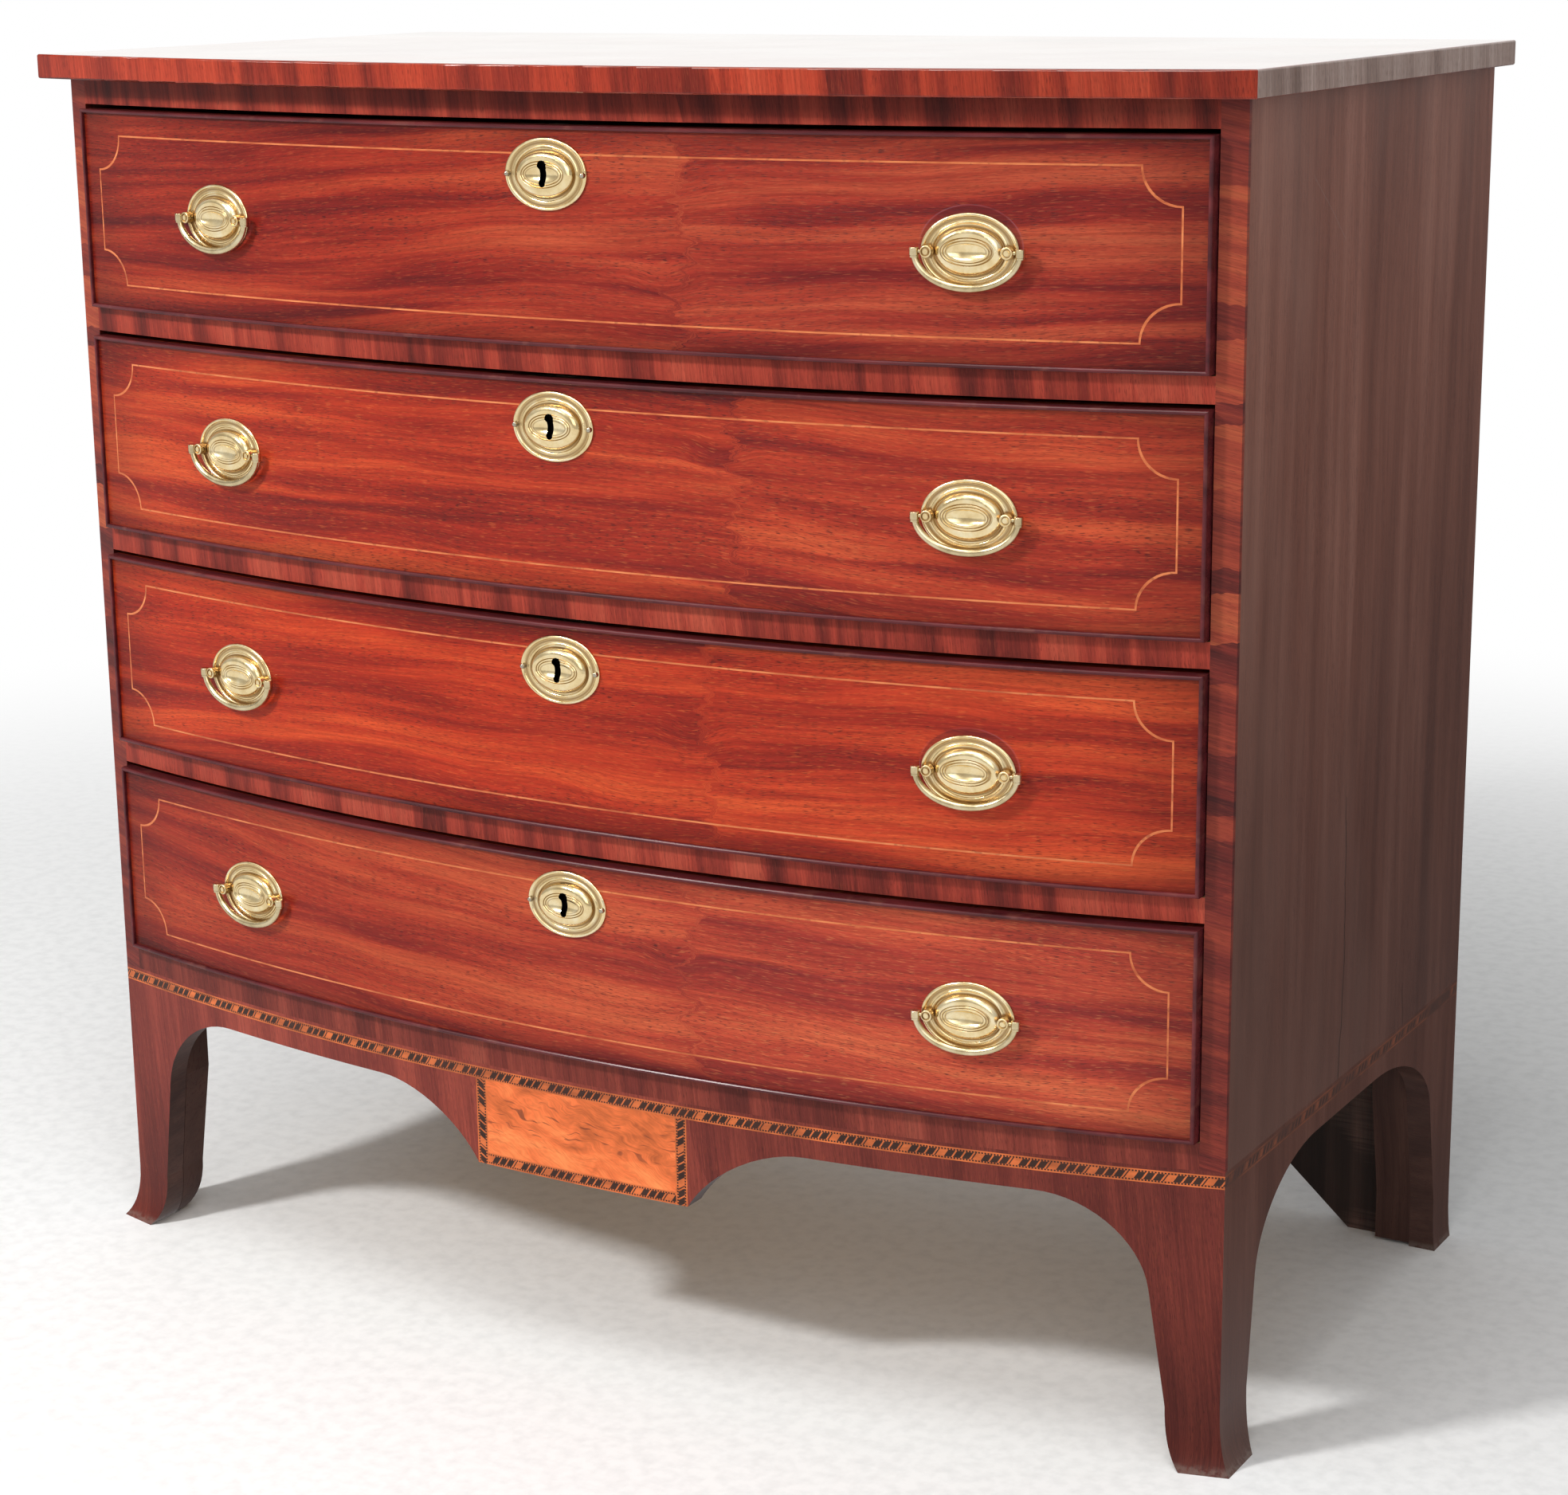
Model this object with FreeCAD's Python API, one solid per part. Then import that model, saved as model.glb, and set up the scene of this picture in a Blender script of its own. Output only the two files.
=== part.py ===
import FreeCAD, Part
import math
import os

from FreeCAD import Vector

# A bow front chest of drawers. Sizes are in millimetres. X is the width, the
# front faces -Y and Z is up; the origin is on the floor under the middle.

# Case
case_width = 1016.0
case_depth = 498.0
bow_rise = 65.0
side_thickness = 18.0
stile_thickness = 4.0
base_height = 229.7
bottom_thickness = 21.0
divider_thickness = 19.0
divider_back = 45.0
top_rail_thickness = 20.3
rear_rail_width = 55.0
housing_depth = 6.0
housing_start = 12.0
runner_width = 36.0
backboard_thickness = 12.0
backboard_count = 4
backboard_gap = 1.5
rabbet_width = 10.0

# Top
top_thickness = 19.0
top_side_overhang = 14.0
top_front_overhang = 22.0
top_back_overhang = 6.0
top_edge_radius = 1.5

# Aprons and feet
apron_thickness = 20.0
apron_depth = 27.7
drop_depth = 83.2
drop_half_width = 97.0
drop_sweep = 98.0
drop_corner = 33.0
front_foot_width = 52.0
front_ankle_width = 39.0
front_shoulder_reach = 84.0
front_shoulder_fall = 67.0
side_foot_width = 61.0
side_ankle_width = 50.0
side_shoulder_reach = 117.0
side_shoulder_fall = 72.0
rear_foot_width = 58.0
rear_ankle_width = 39.0
rear_shoulder_reach = 135.0
rear_shoulder_fall = 64.0
flare = 12.0
flare_height = 45.0
rear_flare = 2.5
toe_tuck = 15.0
rear_bracket_thickness = 22.0
rear_bracket_length = 270.0
rear_bracket_sole = 60.0
rear_bracket_depth = 41.7
rear_bracket_inset = 2.0
foot_block_lift = 3.0
foot_block_depth = 37.5
glue_block_length = 60.0
glue_block_width = 18.0
front_block_spread = 150.0
side_block_spread = 110.0

# Inlay
inlay_depth = 1.2
band_height = 10.0
band_below_top = 2.7
string_width = 1.3
string_depth = 1.0
string_inset = 19.5
string_corner = 27.0

# Drawers
drawer_count = 4
drawer_height = 158.0
drawer_top_gap = 3.5
drawer_bottom_gap = 1.0
drawer_side_gap = 1.0
drawer_back_gap = 12.0
drawer_proud = 5.7
bead_thickness = 3.0
bead_proud = 3.0
bead_seat = 9.0
nose_flats = 5
box_side_thickness = 12.0
box_back_thickness = 12.0
box_side_drop = 6.0
box_back_drop = 14.0
bottom_panel_thickness = 8.0
bottom_panel_tongue = 5.0
tail_count = 3
tail_lap = 1.5
tail_tip = 35.0
tail_root = 25.0
stop_length = 40.0
stop_width = 28.0
stop_height = 5.0
stop_spread = 230.0
stop_clearance = 3.0

# Lock
lock_width = 60.0
lock_height = 46.0
lock_depth = 12.0
lock_wall = 1.0
bolt_width = 18.0
bolt_thickness = 6.0
bolt_height = 18.0
bolt_throw = 9.0
bolt_down = 0.3

# Brasses
plate_half_length = 35.0
plate_half_height = 26.0
plate_thickness = 1.2
rim_width = 3.4
rim_rise = 1.0
cove_width = 3.4
step_width = 3.0
step_rise = 0.8
dome_half_length = 24.6
dome_half_height = 16.6
dome_rise = 5.0
dome_round = 6.0
groove_half_length = 18.0
groove_half_height = 9.4
groove_step = 1.9
groove_width = 1.6
groove_depth = 0.5
dish_half_length = 14.0
dish_half_height = 5.8
dish_shoulder = 9.0
dish_depth = 2.4
pull_spread = 326.0
post_inset = 6.5
post_radius = 2.5
post_foot_radius = 3.4
post_foot_height = 2.2
post_neck_radius = 3.0
post_neck_length = 0.6
post_head_radius = 4.3
post_head_length = 6.0
post_head_round = 0.8
post_ring_outer = 3.2
post_ring_inner = 1.9
post_ring_depth = 1.1
nut_size = 11.0
nut_thickness = 4.0
bail_end_radius = 2.2
bail_middle_radius = 2.8
bail_drop = 24.5
bail_sections = 16
knuckle_radius = 3.4
knuckle_rise = 2.8
knuckle_fall = 3.0
knuckle_round = 0.6
collar_radius = 3.1
collar_height = 1.2
pin_radius = 1.3
pin_tip_gap = 1.0
keyhole_drop = 34.5
keyhole_radius = 3.8
keyhole_slot_width = 5.4
keyhole_slot_length = 12.5
nail_radius = 1.3
nail_length = 9.0
nail_head_radius = 2.0
nail_head_height = 3.4
nail_head_round = 1.6
nail_inset = 2.6

# Clearances
slip = 0.4
seat_clearance = 0.3
curve_clearance = 0.5
mortise_clearance = 1.2
mitre_clearance = 0.1
knuckle_gap = 1.4
hair = 0.001

# Shares that set how full a curve is
round_fullness = 0.55
flare_turn = 0.5
flare_out = 0.35
flare_up = 0.18

# Derived places
half_case = case_width / 2
half_top = half_case + top_side_overhang
opening_half = half_case - side_thickness
overall_depth = top_front_overhang + bow_rise + case_depth + top_back_overhang
corner_y = top_front_overhang + bow_rise - overall_depth / 2
back_y = corner_y + case_depth
backboard_front = back_y - backboard_thickness
bow_radius = (half_case ** 2 + bow_rise ** 2) / (2 * bow_rise)
bow_centre_y = corner_y - bow_rise + bow_radius
side_front = corner_y + stile_thickness
bottom_top = base_height + bottom_thickness
opening_height = drawer_height + drawer_top_gap + drawer_bottom_gap
drawer_pitch = opening_height + divider_thickness
levels = [bottom_top + (drawer_count - 1 - n) * drawer_pitch for n in range(drawer_count)]
top_rail_z = levels[0] + opening_height
case_top = top_rail_z + top_rail_thickness
arch_height = base_height - apron_depth
drop_height = base_height - drop_depth
band_top = base_height - band_below_top
band_bottom = band_top - band_height
housing_front = corner_y + housing_start

drawer_half = opening_half - drawer_side_gap
drawer_bottom = drawer_bottom_gap
drawer_top = drawer_bottom + drawer_height
front_thickness = bead_seat + lock_wall + lock_depth
front_behind = front_thickness - drawer_proud
bottom_panel_lift = stop_height + stop_clearance
face_radius = bow_radius + drawer_proud
drawer_rear = backboard_front - drawer_back_gap
plate_radius = math.sqrt(face_radius ** 2 - plate_half_length ** 2)
pull_height = drawer_bottom + drawer_height / 2
keyhole_height = drawer_top - keyhole_drop
lock_back = bow_centre_y - (bow_radius - front_behind)
lock_front = lock_back - lock_depth
bolt_y = lock_back - lock_depth / 2
bolt_reach = drawer_top_gap + bolt_down
post_spread = plate_half_length - post_inset
pivot_stand = plate_thickness + post_foot_height + post_neck_length + post_head_length / 2


def block(x0, x1, y0, y1, z0, z1):
    return Part.makeBox(x1 - x0, y1 - y0, z1 - z0, Vector(x0, y0, z0))


def mirrored(shape):
    return shape.mirror(Vector(0, 0, 0), Vector(1, 0, 0))


def both_sides(shape):
    return [shape, mirrored(shape)]


def moved(shape, x, y, z):
    copy = shape.copy()
    copy.translate(Vector(x, y, z))
    return copy


def turned(shape, axis, degrees):
    copy = shape.copy()
    copy.rotate(Vector(0, 0, 0), axis, degrees)
    return copy


def cut_all(shape, tools):
    return shape.cut(list(tools))


def bow_y(x, ahead=0.0):
    """Y of the surface that follows the bow and stands ahead of the case line."""
    return bow_centre_y - math.sqrt((bow_radius + ahead) ** 2 - x ** 2)


def bow_point(x, ahead, z):
    return Vector(x, bow_y(x, ahead), z)


def face_from(start, steps):
    """Face bounded by lines (one point), arcs (two points) and curves (three points)."""
    edges = []
    here = start
    for step in steps:
        if len(step) == 1:
            edges.append(Part.makeLine(here, step[0]))
        elif len(step) == 2:
            edges.append(Part.Arc(here, step[0], step[1]).toShape())
        else:
            curve = Part.BezierCurve()
            curve.setPoles([here] + list(step))
            edges.append(curve.toShape())
        here = step[-1]
    return Part.Face(Part.Wire(edges))


def bowed_skin(x0, x1, ahead, behind, z0, z1):
    """Slab between a surface ahead of the case line and one behind it."""
    middle = (x0 + x1) / 2
    face = face_from(bow_point(x0, ahead, z0), [
        (bow_point(middle, ahead, z0), bow_point(x1, ahead, z0)),
        (bow_point(x1, -behind, z0),),
        (bow_point(middle, -behind, z0), bow_point(x0, -behind, z0)),
        (bow_point(x0, ahead, z0),),
    ])
    return face.extrude(Vector(0, 0, z1 - z0))


def bowed_board(x0, x1, ahead, back, z0, z1):
    """Board with a bowed front edge and a straight back edge."""
    middle = (x0 + x1) / 2
    face = face_from(bow_point(x0, ahead, z0), [
        (bow_point(middle, ahead, z0), bow_point(x1, ahead, z0)),
        (Vector(x1, back, z0),),
        (Vector(x0, back, z0),),
        (bow_point(x0, ahead, z0),),
    ])
    return face.extrude(Vector(0, 0, z1 - z0))


def prism(points, direction):
    return Part.Face(Part.makePolygon(list(points) + [points[0]])).extrude(direction)


def save(name, solids):
    shape = solids[0] if len(solids) == 1 else Part.makeCompound(solids)
    shape.exportStep("parts/" + name + ".step")


def make_top():
    front = corner_y - top_front_overhang
    back = back_y + top_back_overhang
    face = face_from(Vector(-half_top, front, case_top), [
        (Vector(0, front - bow_rise, case_top), Vector(half_top, front, case_top)),
        (Vector(half_top, back, case_top),),
        (Vector(-half_top, back, case_top),),
        (Vector(-half_top, front, case_top),),
    ])
    board = face.extrude(Vector(0, 0, top_thickness))
    rims = [edge for edge in board.Edges
            if abs(edge.valueAt(edge.FirstParameter).z - edge.valueAt(edge.LastParameter).z) < hair]
    return board.makeFillet(top_edge_radius, rims)


def make_side():
    """Right case side, with housings for the rails and a rabbet for the back."""
    side = block(opening_half, half_case, side_front, back_y, base_height, case_top)
    inner = opening_half + housing_depth
    housings = [
        block(opening_half, inner, housing_front, backboard_front, base_height, bottom_top),
        block(opening_half, inner, housing_front, backboard_front, top_rail_z, case_top),
        block(opening_half, opening_half + rabbet_width, backboard_front, back_y, base_height, case_top),
    ]
    for level in levels[:-1]:
        housings.append(block(opening_half, inner, housing_front, backboard_front,
                              level - divider_thickness, level))
    return cut_all(side, housings)


def make_stile():
    return bowed_board(opening_half, half_case, 0, side_front, base_height, case_top)


def make_rail(z0, z1, back):
    """Bowed rail between the stiles, with its ends housed in the sides."""
    rail = bowed_board(-opening_half, opening_half, 0, back, z0, z1)
    reach = opening_half + housing_depth
    return rail.fuse(block(-reach, reach, housing_front, back, z0, z1)).removeSplitter()


def make_mortise(z):
    """Room for a lock bolt, cut up into the rail above a drawer."""
    half_width = bolt_width / 2 + mortise_clearance
    half_depth = bolt_thickness / 2 + mortise_clearance
    height = bolt_throw - bolt_reach + mortise_clearance
    return block(-half_width, half_width, bolt_y - half_depth, bolt_y + half_depth, z, z + height)


def make_runner(z0, z1, back):
    reach = opening_half + housing_depth
    return block(opening_half - runner_width, reach, corner_y + divider_back, back, z0, z1)


def make_stops(level):
    inner = stop_spread - stop_length / 2
    outer = stop_spread + stop_length / 2
    front = bow_y(outer, -front_behind) + curve_clearance
    return both_sides(block(inner, outer, front, front + stop_width, level, level + stop_height))


def make_backboards():
    width = opening_half + rabbet_width
    pitch = (case_top - base_height + backboard_gap) / backboard_count
    boards = []
    for n in range(backboard_count):
        z = base_height + n * pitch
        boards.append(block(-width, width, backboard_front, back_y, z, z + pitch - backboard_gap))
    return boards


def flare_curve(start, out):
    """Curve from straight down at the start to swept out on the floor."""
    low = Vector(start.x, start.y, 0) + out
    up = Vector(0, 0, start.z)
    first = start - up * flare_turn
    second = low - out * (1 - flare_out) + up * flare_up
    return first, second, low


def round_curve(start, corner, end):
    """Curve that leaves the start towards a corner and reaches the end from it."""
    first = start + (corner - start) * round_fullness
    second = end + (corner - end) * round_fullness
    return first, second, end


def lean_at(foot, ankle, foot_z, z):
    """Where the edge of a foot, from its ankle up to its shoulder, would be at a height."""
    return foot + (foot - ankle) * (z - foot_z) / (foot_z - flare_height)


def make_front_apron():
    """Bowed apron sawn in one with the fronts of the front feet, mitred at the corners."""
    front = corner_y - bow_rise
    start = Vector(0, front, flare_height)
    section = face_from(Vector(0, front + apron_thickness, 0), [
        (Vector(0, front + apron_thickness, base_height),),
        (Vector(0, front, base_height),),
        (start,),
        flare_curve(start, Vector(0, -flare, 0)),
        (Vector(0, front + apron_thickness, 0),),
    ])
    sweep = 2 * math.degrees(math.asin((half_case + 2 * flare) / (bow_radius - apron_thickness)))
    centre = Vector(0, bow_centre_y, 0)
    ring = section.revolve(centre, Vector(0, 0, 1), sweep)
    ring.rotate(centre, Vector(0, 0, 1), -sweep / 2)
    apron = ring.common(mitre_keep_front())
    openings = both_sides(make_front_arch())
    return cut_all(apron, openings).removeSplitter()


def mitre_points():
    """Outer and inner end of the line on which the front and side aprons meet."""
    slope = math.asin(half_case / bow_radius)
    run = apron_thickness + 2 * flare
    fall = run * (math.sin(slope) - 1) / math.cos(slope)
    return Vector(half_case + run, corner_y + fall, 0), Vector(half_case - run, corner_y - fall, 0)


def mitre_keep_front():
    outer, inner = mitre_points()
    ahead = Vector(0, -2 * bow_rise - 4 * flare, 0)
    right = [inner, outer, outer + ahead]
    left = [Vector(-p.x, p.y, p.z) for p in reversed(right)]
    return prism(right + left, Vector(0, 0, base_height))


def mitre_keep_side():
    outer, inner = mitre_points()
    points = [outer, Vector(outer.x, back_y, 0), Vector(inner.x, back_y, 0), inner]
    return prism(points, Vector(0, 0, base_height))


def make_front_arch():
    """Right half of the opening under the apron, from the middle out to the foot."""
    y = corner_y - 2 * bow_rise - 4 * flare
    below = -flare
    foot = half_case - front_foot_width
    ankle = half_case - front_ankle_width
    foot_z = arch_height - front_shoulder_fall

    def spot(x, z):
        return Vector(x, y, z)

    drop_edge = spot(drop_half_width, drop_height)
    sweep_end = spot(drop_half_width + drop_sweep, arch_height)
    shoulder = spot(foot - front_shoulder_reach, arch_height)
    corner = spot(lean_at(foot, ankle, foot_z, arch_height), arch_height)
    toe = spot(ankle + toe_tuck, below)
    face = face_from(spot(0, below), [
        (spot(0, drop_height),),
        (drop_edge,),
        round_curve(drop_edge, spot(drop_half_width + drop_corner, arch_height), sweep_end),
        (shoulder,),
        round_curve(shoulder, corner, spot(foot, foot_z)),
        (spot(ankle, flare_height),),
        flare_curve(spot(ankle, flare_height), Vector(toe_tuck, 0, 0)),
        (toe,),
        (spot(0, below),),
    ])
    return face.extrude(Vector(0, 2 * (bow_rise + case_depth), 0))


def make_side_apron():
    """Right side apron sawn in one with the sides of its front and rear feet."""
    inside = half_case - apron_thickness
    middle = (corner_y + back_y) / 2

    def board(y0, y1, out):
        start = Vector(half_case, y0, flare_height)
        section = face_from(Vector(inside, y0, 0), [
            (Vector(inside, y0, base_height),),
            (Vector(half_case, y0, base_height),),
            (start,),
            flare_curve(start, Vector(out, 0, 0)),
            (Vector(inside, y0, 0),),
        ])
        return section.extrude(Vector(0, y1 - y0, 0)).cut(make_side_arch())

    front = board(corner_y - bow_rise - apron_thickness, middle, flare).common(mitre_keep_side())
    return front.fuse(board(middle, back_y, rear_flare)).removeSplitter()


def make_side_arch():
    """Opening under a side apron, drawn from the rear foot to the front foot."""
    x = 0
    below = -flare
    front_foot = corner_y + side_foot_width
    front_ankle = corner_y + side_ankle_width
    rear_foot = back_y - rear_foot_width
    rear_ankle = back_y - rear_ankle_width
    front_z = arch_height - side_shoulder_fall
    rear_z = arch_height - rear_shoulder_fall

    def spot(y, z):
        return Vector(x, y, z)

    rear_shoulder = spot(rear_foot - rear_shoulder_reach, arch_height)
    rear_corner = spot(lean_at(rear_foot, rear_ankle, rear_z, arch_height), arch_height)
    front_shoulder = spot(front_foot + side_shoulder_reach, arch_height)
    front_corner = spot(lean_at(front_foot, front_ankle, front_z, arch_height), arch_height)
    face = face_from(spot(rear_ankle, below), [
        (spot(rear_ankle, flare_height),),
        (spot(rear_foot, rear_z),),
        round_curve(spot(rear_foot, rear_z), rear_corner, rear_shoulder),
        (front_shoulder,),
        round_curve(front_shoulder, front_corner, spot(front_foot, front_z)),
        (spot(front_ankle, flare_height),),
        flare_curve(spot(front_ankle, flare_height), Vector(0, -toe_tuck, 0)),
        (spot(front_ankle - toe_tuck, below),),
        (spot(rear_ankle, below),),
    ])
    return face.extrude(Vector(half_case + 2 * flare, 0, 0))


def make_rear_bracket():
    outer = half_case - apron_thickness
    y = back_y - rear_bracket_inset - rear_bracket_thickness
    points = [
        Vector(outer, y, 0),
        Vector(outer, y, base_height),
        Vector(outer - rear_bracket_length, y, base_height),
        Vector(outer - rear_bracket_length, y, base_height - rear_bracket_depth),
        Vector(outer - rear_bracket_sole, y, 0),
    ]
    return prism(points, Vector(0, rear_bracket_thickness, 0))


def make_glue_blocks():
    """Blocks that fill the feet behind their sawn edges, and short blocks behind the aprons."""
    inside = half_case - apron_thickness
    rear_y = back_y - rear_bracket_inset - rear_bracket_thickness
    side_middle = (corner_y + side_foot_width + side_shoulder_reach
                   + back_y - rear_foot_width - rear_shoulder_reach) / 2
    low = base_height - glue_block_width
    front_foot = bowed_board(half_case - front_foot_width, inside, -apron_thickness - curve_clearance,
                             corner_y + foot_block_depth, foot_block_lift, base_height)
    front_tuck = moved(make_side_arch(), 0, foot_block_depth - side_ankle_width, 0)
    rear_foot = block(inside - glue_block_length / 2, inside, back_y - rear_foot_width, rear_y,
                      foot_block_lift, base_height)
    right = [front_foot.cut([make_front_arch(), front_tuck]), rear_foot.cut(make_side_arch())]
    for shift in (-side_block_spread, side_block_spread):
        y0 = side_middle + shift / 2 - glue_block_length / 2
        right.append(block(inside - glue_block_width, inside, y0, y0 + glue_block_length, low, base_height))
    for middle in (front_block_spread / 2, front_block_spread * 3 / 2):
        x1 = middle + glue_block_length / 2
        y0 = bow_y(x1, -apron_thickness) + curve_clearance
        right.append(block(x1 - glue_block_length, x1, y0, y0 + glue_block_width, low, base_height))
    solids = []
    for solid in right:
        solids += both_sides(solid)
    return solids


def make_bands():
    """Front band, side bands and the borders of the panel."""
    reach = half_case + flare
    front = bowed_skin(-reach, reach, 0, inlay_depth, band_bottom, band_top).common(mitre_keep_front())
    side = block(half_case - inlay_depth, half_case, corner_y - bow_rise, back_y, band_bottom, band_top)
    side = side.common(mitre_keep_side())
    inner = drop_half_width - band_height
    upright = bowed_skin(inner, drop_half_width, 0, inlay_depth, drop_height, band_bottom)
    foot = bowed_skin(-inner, inner, 0, inlay_depth, drop_height, drop_height + band_height)
    return [front] + both_sides(side) + both_sides(upright) + [foot]


def make_panel():
    inner = drop_half_width - band_height
    return bowed_skin(-inner, inner, 0, inlay_depth, drop_height + band_height, band_bottom)


def at_front(shape, x, z):
    """Places a brass made at the origin, facing -Y, on its flat seat on a drawer front."""
    angle = math.asin(x / face_radius)
    copy = turned(shape, Vector(0, 0, 1), math.degrees(angle))
    return moved(copy, plate_radius * math.sin(angle), bow_centre_y - plate_radius * math.cos(angle), z)


def rod(radius, y0, y1, x=0.0, z=0.0):
    return Part.makeCylinder(radius, y1 - y0, Vector(x, y0, z), Vector(0, 1, 0))


def squashed(shape, share):
    """Shape made lower by a share of its height."""
    matrix = FreeCAD.Matrix()
    matrix.scale(Vector(1, 1, share))
    return shape.transformGeometry(matrix)


def spun(start, steps, share):
    """Face drawn in the XY plane, turned about Y and squashed."""
    face = face_from(start, steps + [(start,)])
    return squashed(face.revolve(Vector(0, 0, 0), Vector(0, 1, 0), 360), share)


def make_plate():
    """Stamped oval: rolled rim, cove, step, and a dome with two grooves round a dished middle."""
    flat = -plate_thickness
    crown = flat - dome_rise
    above = crown - dome_rise
    floor = crown + dish_depth
    rim_in = plate_half_length - rim_width
    step_out = rim_in - cove_width
    step_in = step_out - step_width

    def spot(x, y):
        return Vector(x, y, 0)

    base = spun(spot(0, 0), [
        (spot(plate_half_length, 0),),
        (spot(plate_half_length, flat),),
        (spot(plate_half_length - rim_width / 2, flat - rim_rise), spot(rim_in, flat)),
        (spot(step_out, flat),),
        (spot(step_out - step_width / 2, flat - step_rise), spot(step_in, flat)),
        (spot(0, flat),),
    ], plate_half_height / plate_half_length)
    dome = spun(spot(0, 0), [
        (spot(dome_half_length, 0),),
        (spot(dome_half_length, flat),),
        round_curve(spot(dome_half_length, flat), spot(dome_half_length, crown),
                    spot(dome_half_length - dome_round, crown)),
        (spot(0, crown),),
    ], dome_half_height / dome_half_length)
    tools = [spun(spot(0, above), [
        (spot(dish_half_length, above),),
        (spot(dish_half_length, crown),),
        round_curve(spot(dish_half_length, crown), spot(dish_shoulder, floor), spot(0, floor)),
    ], dish_half_height / dish_half_length)]
    for inset in (0, groove_step):
        middle = groove_half_length - inset
        inner, outer = middle - groove_width / 2, middle + groove_width / 2
        tools.append(spun(spot(inner, above), [
            (spot(inner, crown),),
            (spot(middle, crown + groove_depth),),
            (spot(outer, crown),),
            (spot(outer, above),),
        ], (groove_half_height - inset) / middle))
    return cut_all(base.fuse(dome), tools).removeSplitter()


def make_plate_seat():
    """Room in front of the flat that a plate beds on."""
    seat = rod(plate_half_length + seat_clearance, -front_thickness, 0)
    return squashed(seat, plate_half_height / plate_half_length)


def make_pull_plate():
    plate = make_plate()
    tools = []
    for x in (-post_spread, post_spread):
        tools.append(rod(post_foot_radius + seat_clearance, -pivot_stand, -plate_thickness, x))
        tools.append(rod(post_radius + seat_clearance, -pivot_stand, pivot_stand, x))
    return cut_all(plate, tools)


def make_keyhole(y0, y1):
    hole = rod(keyhole_radius, y0, y1)
    half = keyhole_slot_width / 2
    slot = block(-half, half, y0, y1, -keyhole_slot_length, 0)
    return hole.fuse([slot, rod(half, y0, y1, 0, -keyhole_slot_length)])


def nail_places():
    reach = plate_half_length - nail_inset
    return (-reach, reach)


def make_key_plate():
    plate = make_plate()
    tools = [moved(make_keyhole(-front_thickness, front_thickness), 0, 0, keyhole_slot_length / 2)]
    for x in nail_places():
        tools.append(rod(nail_head_radius + seat_clearance, -pivot_stand, -plate_thickness, x))
        tools.append(rod(nail_radius + seat_clearance, -pivot_stand, pivot_stand, x))
    return cut_all(plate, tools)


def make_nails():
    nails = []
    for x in nail_places():
        front = -plate_thickness - nail_head_height
        head = rod(nail_head_radius, front, -plate_thickness, x)
        rim = [edge for edge in head.Edges if abs(edge.BoundBox.YMax - front) < hair]
        head = head.makeFillet(nail_head_round, rim)
        nails.append(head.fuse(rod(nail_radius, -plate_thickness, nail_length, x)).removeSplitter())
    return nails


def nut_seat():
    """How far the flat for a nut lies behind the flat for the plate."""
    inner = post_spread - nut_size
    return plate_radius - math.sqrt((bow_radius - front_behind) ** 2 - inner ** 2)


def make_post(x):
    """Post with a foot on the plate, a ringed head with a cross hole, and a nut inside."""
    foot_top = -plate_thickness - post_foot_height
    head_near = foot_top - post_neck_length
    head_far = head_near - post_head_length
    seat = nut_seat()
    half = nut_size / 2
    head = rod(post_head_radius, head_far, head_near)
    rims = [edge for edge in head.Edges if edge.isClosed()]
    head = head.makeFillet(post_head_round, rims)
    ring = rod(post_ring_outer, head_far, head_far + post_ring_depth)
    ring = ring.cut(rod(post_ring_inner, head_far, head_far + post_ring_depth))
    post = head.cut(ring).fuse([
        rod(post_neck_radius, head_near, foot_top),
        rod(post_foot_radius, foot_top, -plate_thickness),
        rod(post_radius, -plate_thickness, seat + nut_thickness),
        block(-half, half, seat, seat + nut_thickness, -half, half),
    ])
    hole = Part.makeCylinder(pin_radius + slip, 4 * post_head_radius,
                             Vector(-2 * post_head_radius, -pivot_stand, 0), Vector(1, 0, 0))
    return moved(post.cut(hole).removeSplitter(), x, 0, 0)


def make_post_room(x):
    """Bore for a post and a flat for its nut."""
    half = nut_size / 2 + seat_clearance
    seat = nut_seat()
    bore = rod(post_radius + seat_clearance, -front_thickness, 2 * front_thickness, x)
    return bore.fuse(block(x - half, x + half, seat, 2 * front_thickness, -half, half))


def make_bail():
    """Half oval bail, thicker in the middle, with knuckles whose pins turn in the heads of the posts."""
    reach = post_spread + post_head_radius + knuckle_gap + knuckle_radius
    pin_length = knuckle_radius + knuckle_gap + post_head_radius * 2 - pin_tip_gap
    up = Vector(0, 0, 1)
    rings = []
    for n in range(bail_sections + 1):
        turn = math.pi * n / bail_sections
        across, down = math.cos(turn), math.sin(turn)
        radius = bail_end_radius + (bail_middle_radius - bail_end_radius) * down
        lean = math.degrees(math.atan2(-reach * down, -bail_drop * across))
        ring = turned(Part.Wire([Part.makeCircle(radius)]), Vector(0, 1, 0), lean)
        rings.append(moved(ring, reach * across, 0, -bail_drop * down))
    pieces = []
    for side in (-1, 1):
        middle = Vector(side * reach, 0, 0)
        low = middle - up * knuckle_fall
        knuckle = Part.makeCylinder(knuckle_radius, knuckle_rise + knuckle_fall, low, up)
        rims = [edge for edge in knuckle.Edges if edge.isClosed()]
        pieces.append(knuckle.makeFillet(knuckle_round, rims))
        pieces.append(Part.makeCylinder(collar_radius, collar_height, low - up * collar_height, up))
        pieces.append(Part.makeCylinder(pin_radius, pin_length, middle, Vector(-side, 0, 0)))
    bail = Part.makeLoft(rings, True)
    for piece in pieces:
        bail = bail.fuse(piece)
    return moved(bail.removeSplitter(), 0, -pivot_stand, 0)


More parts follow.
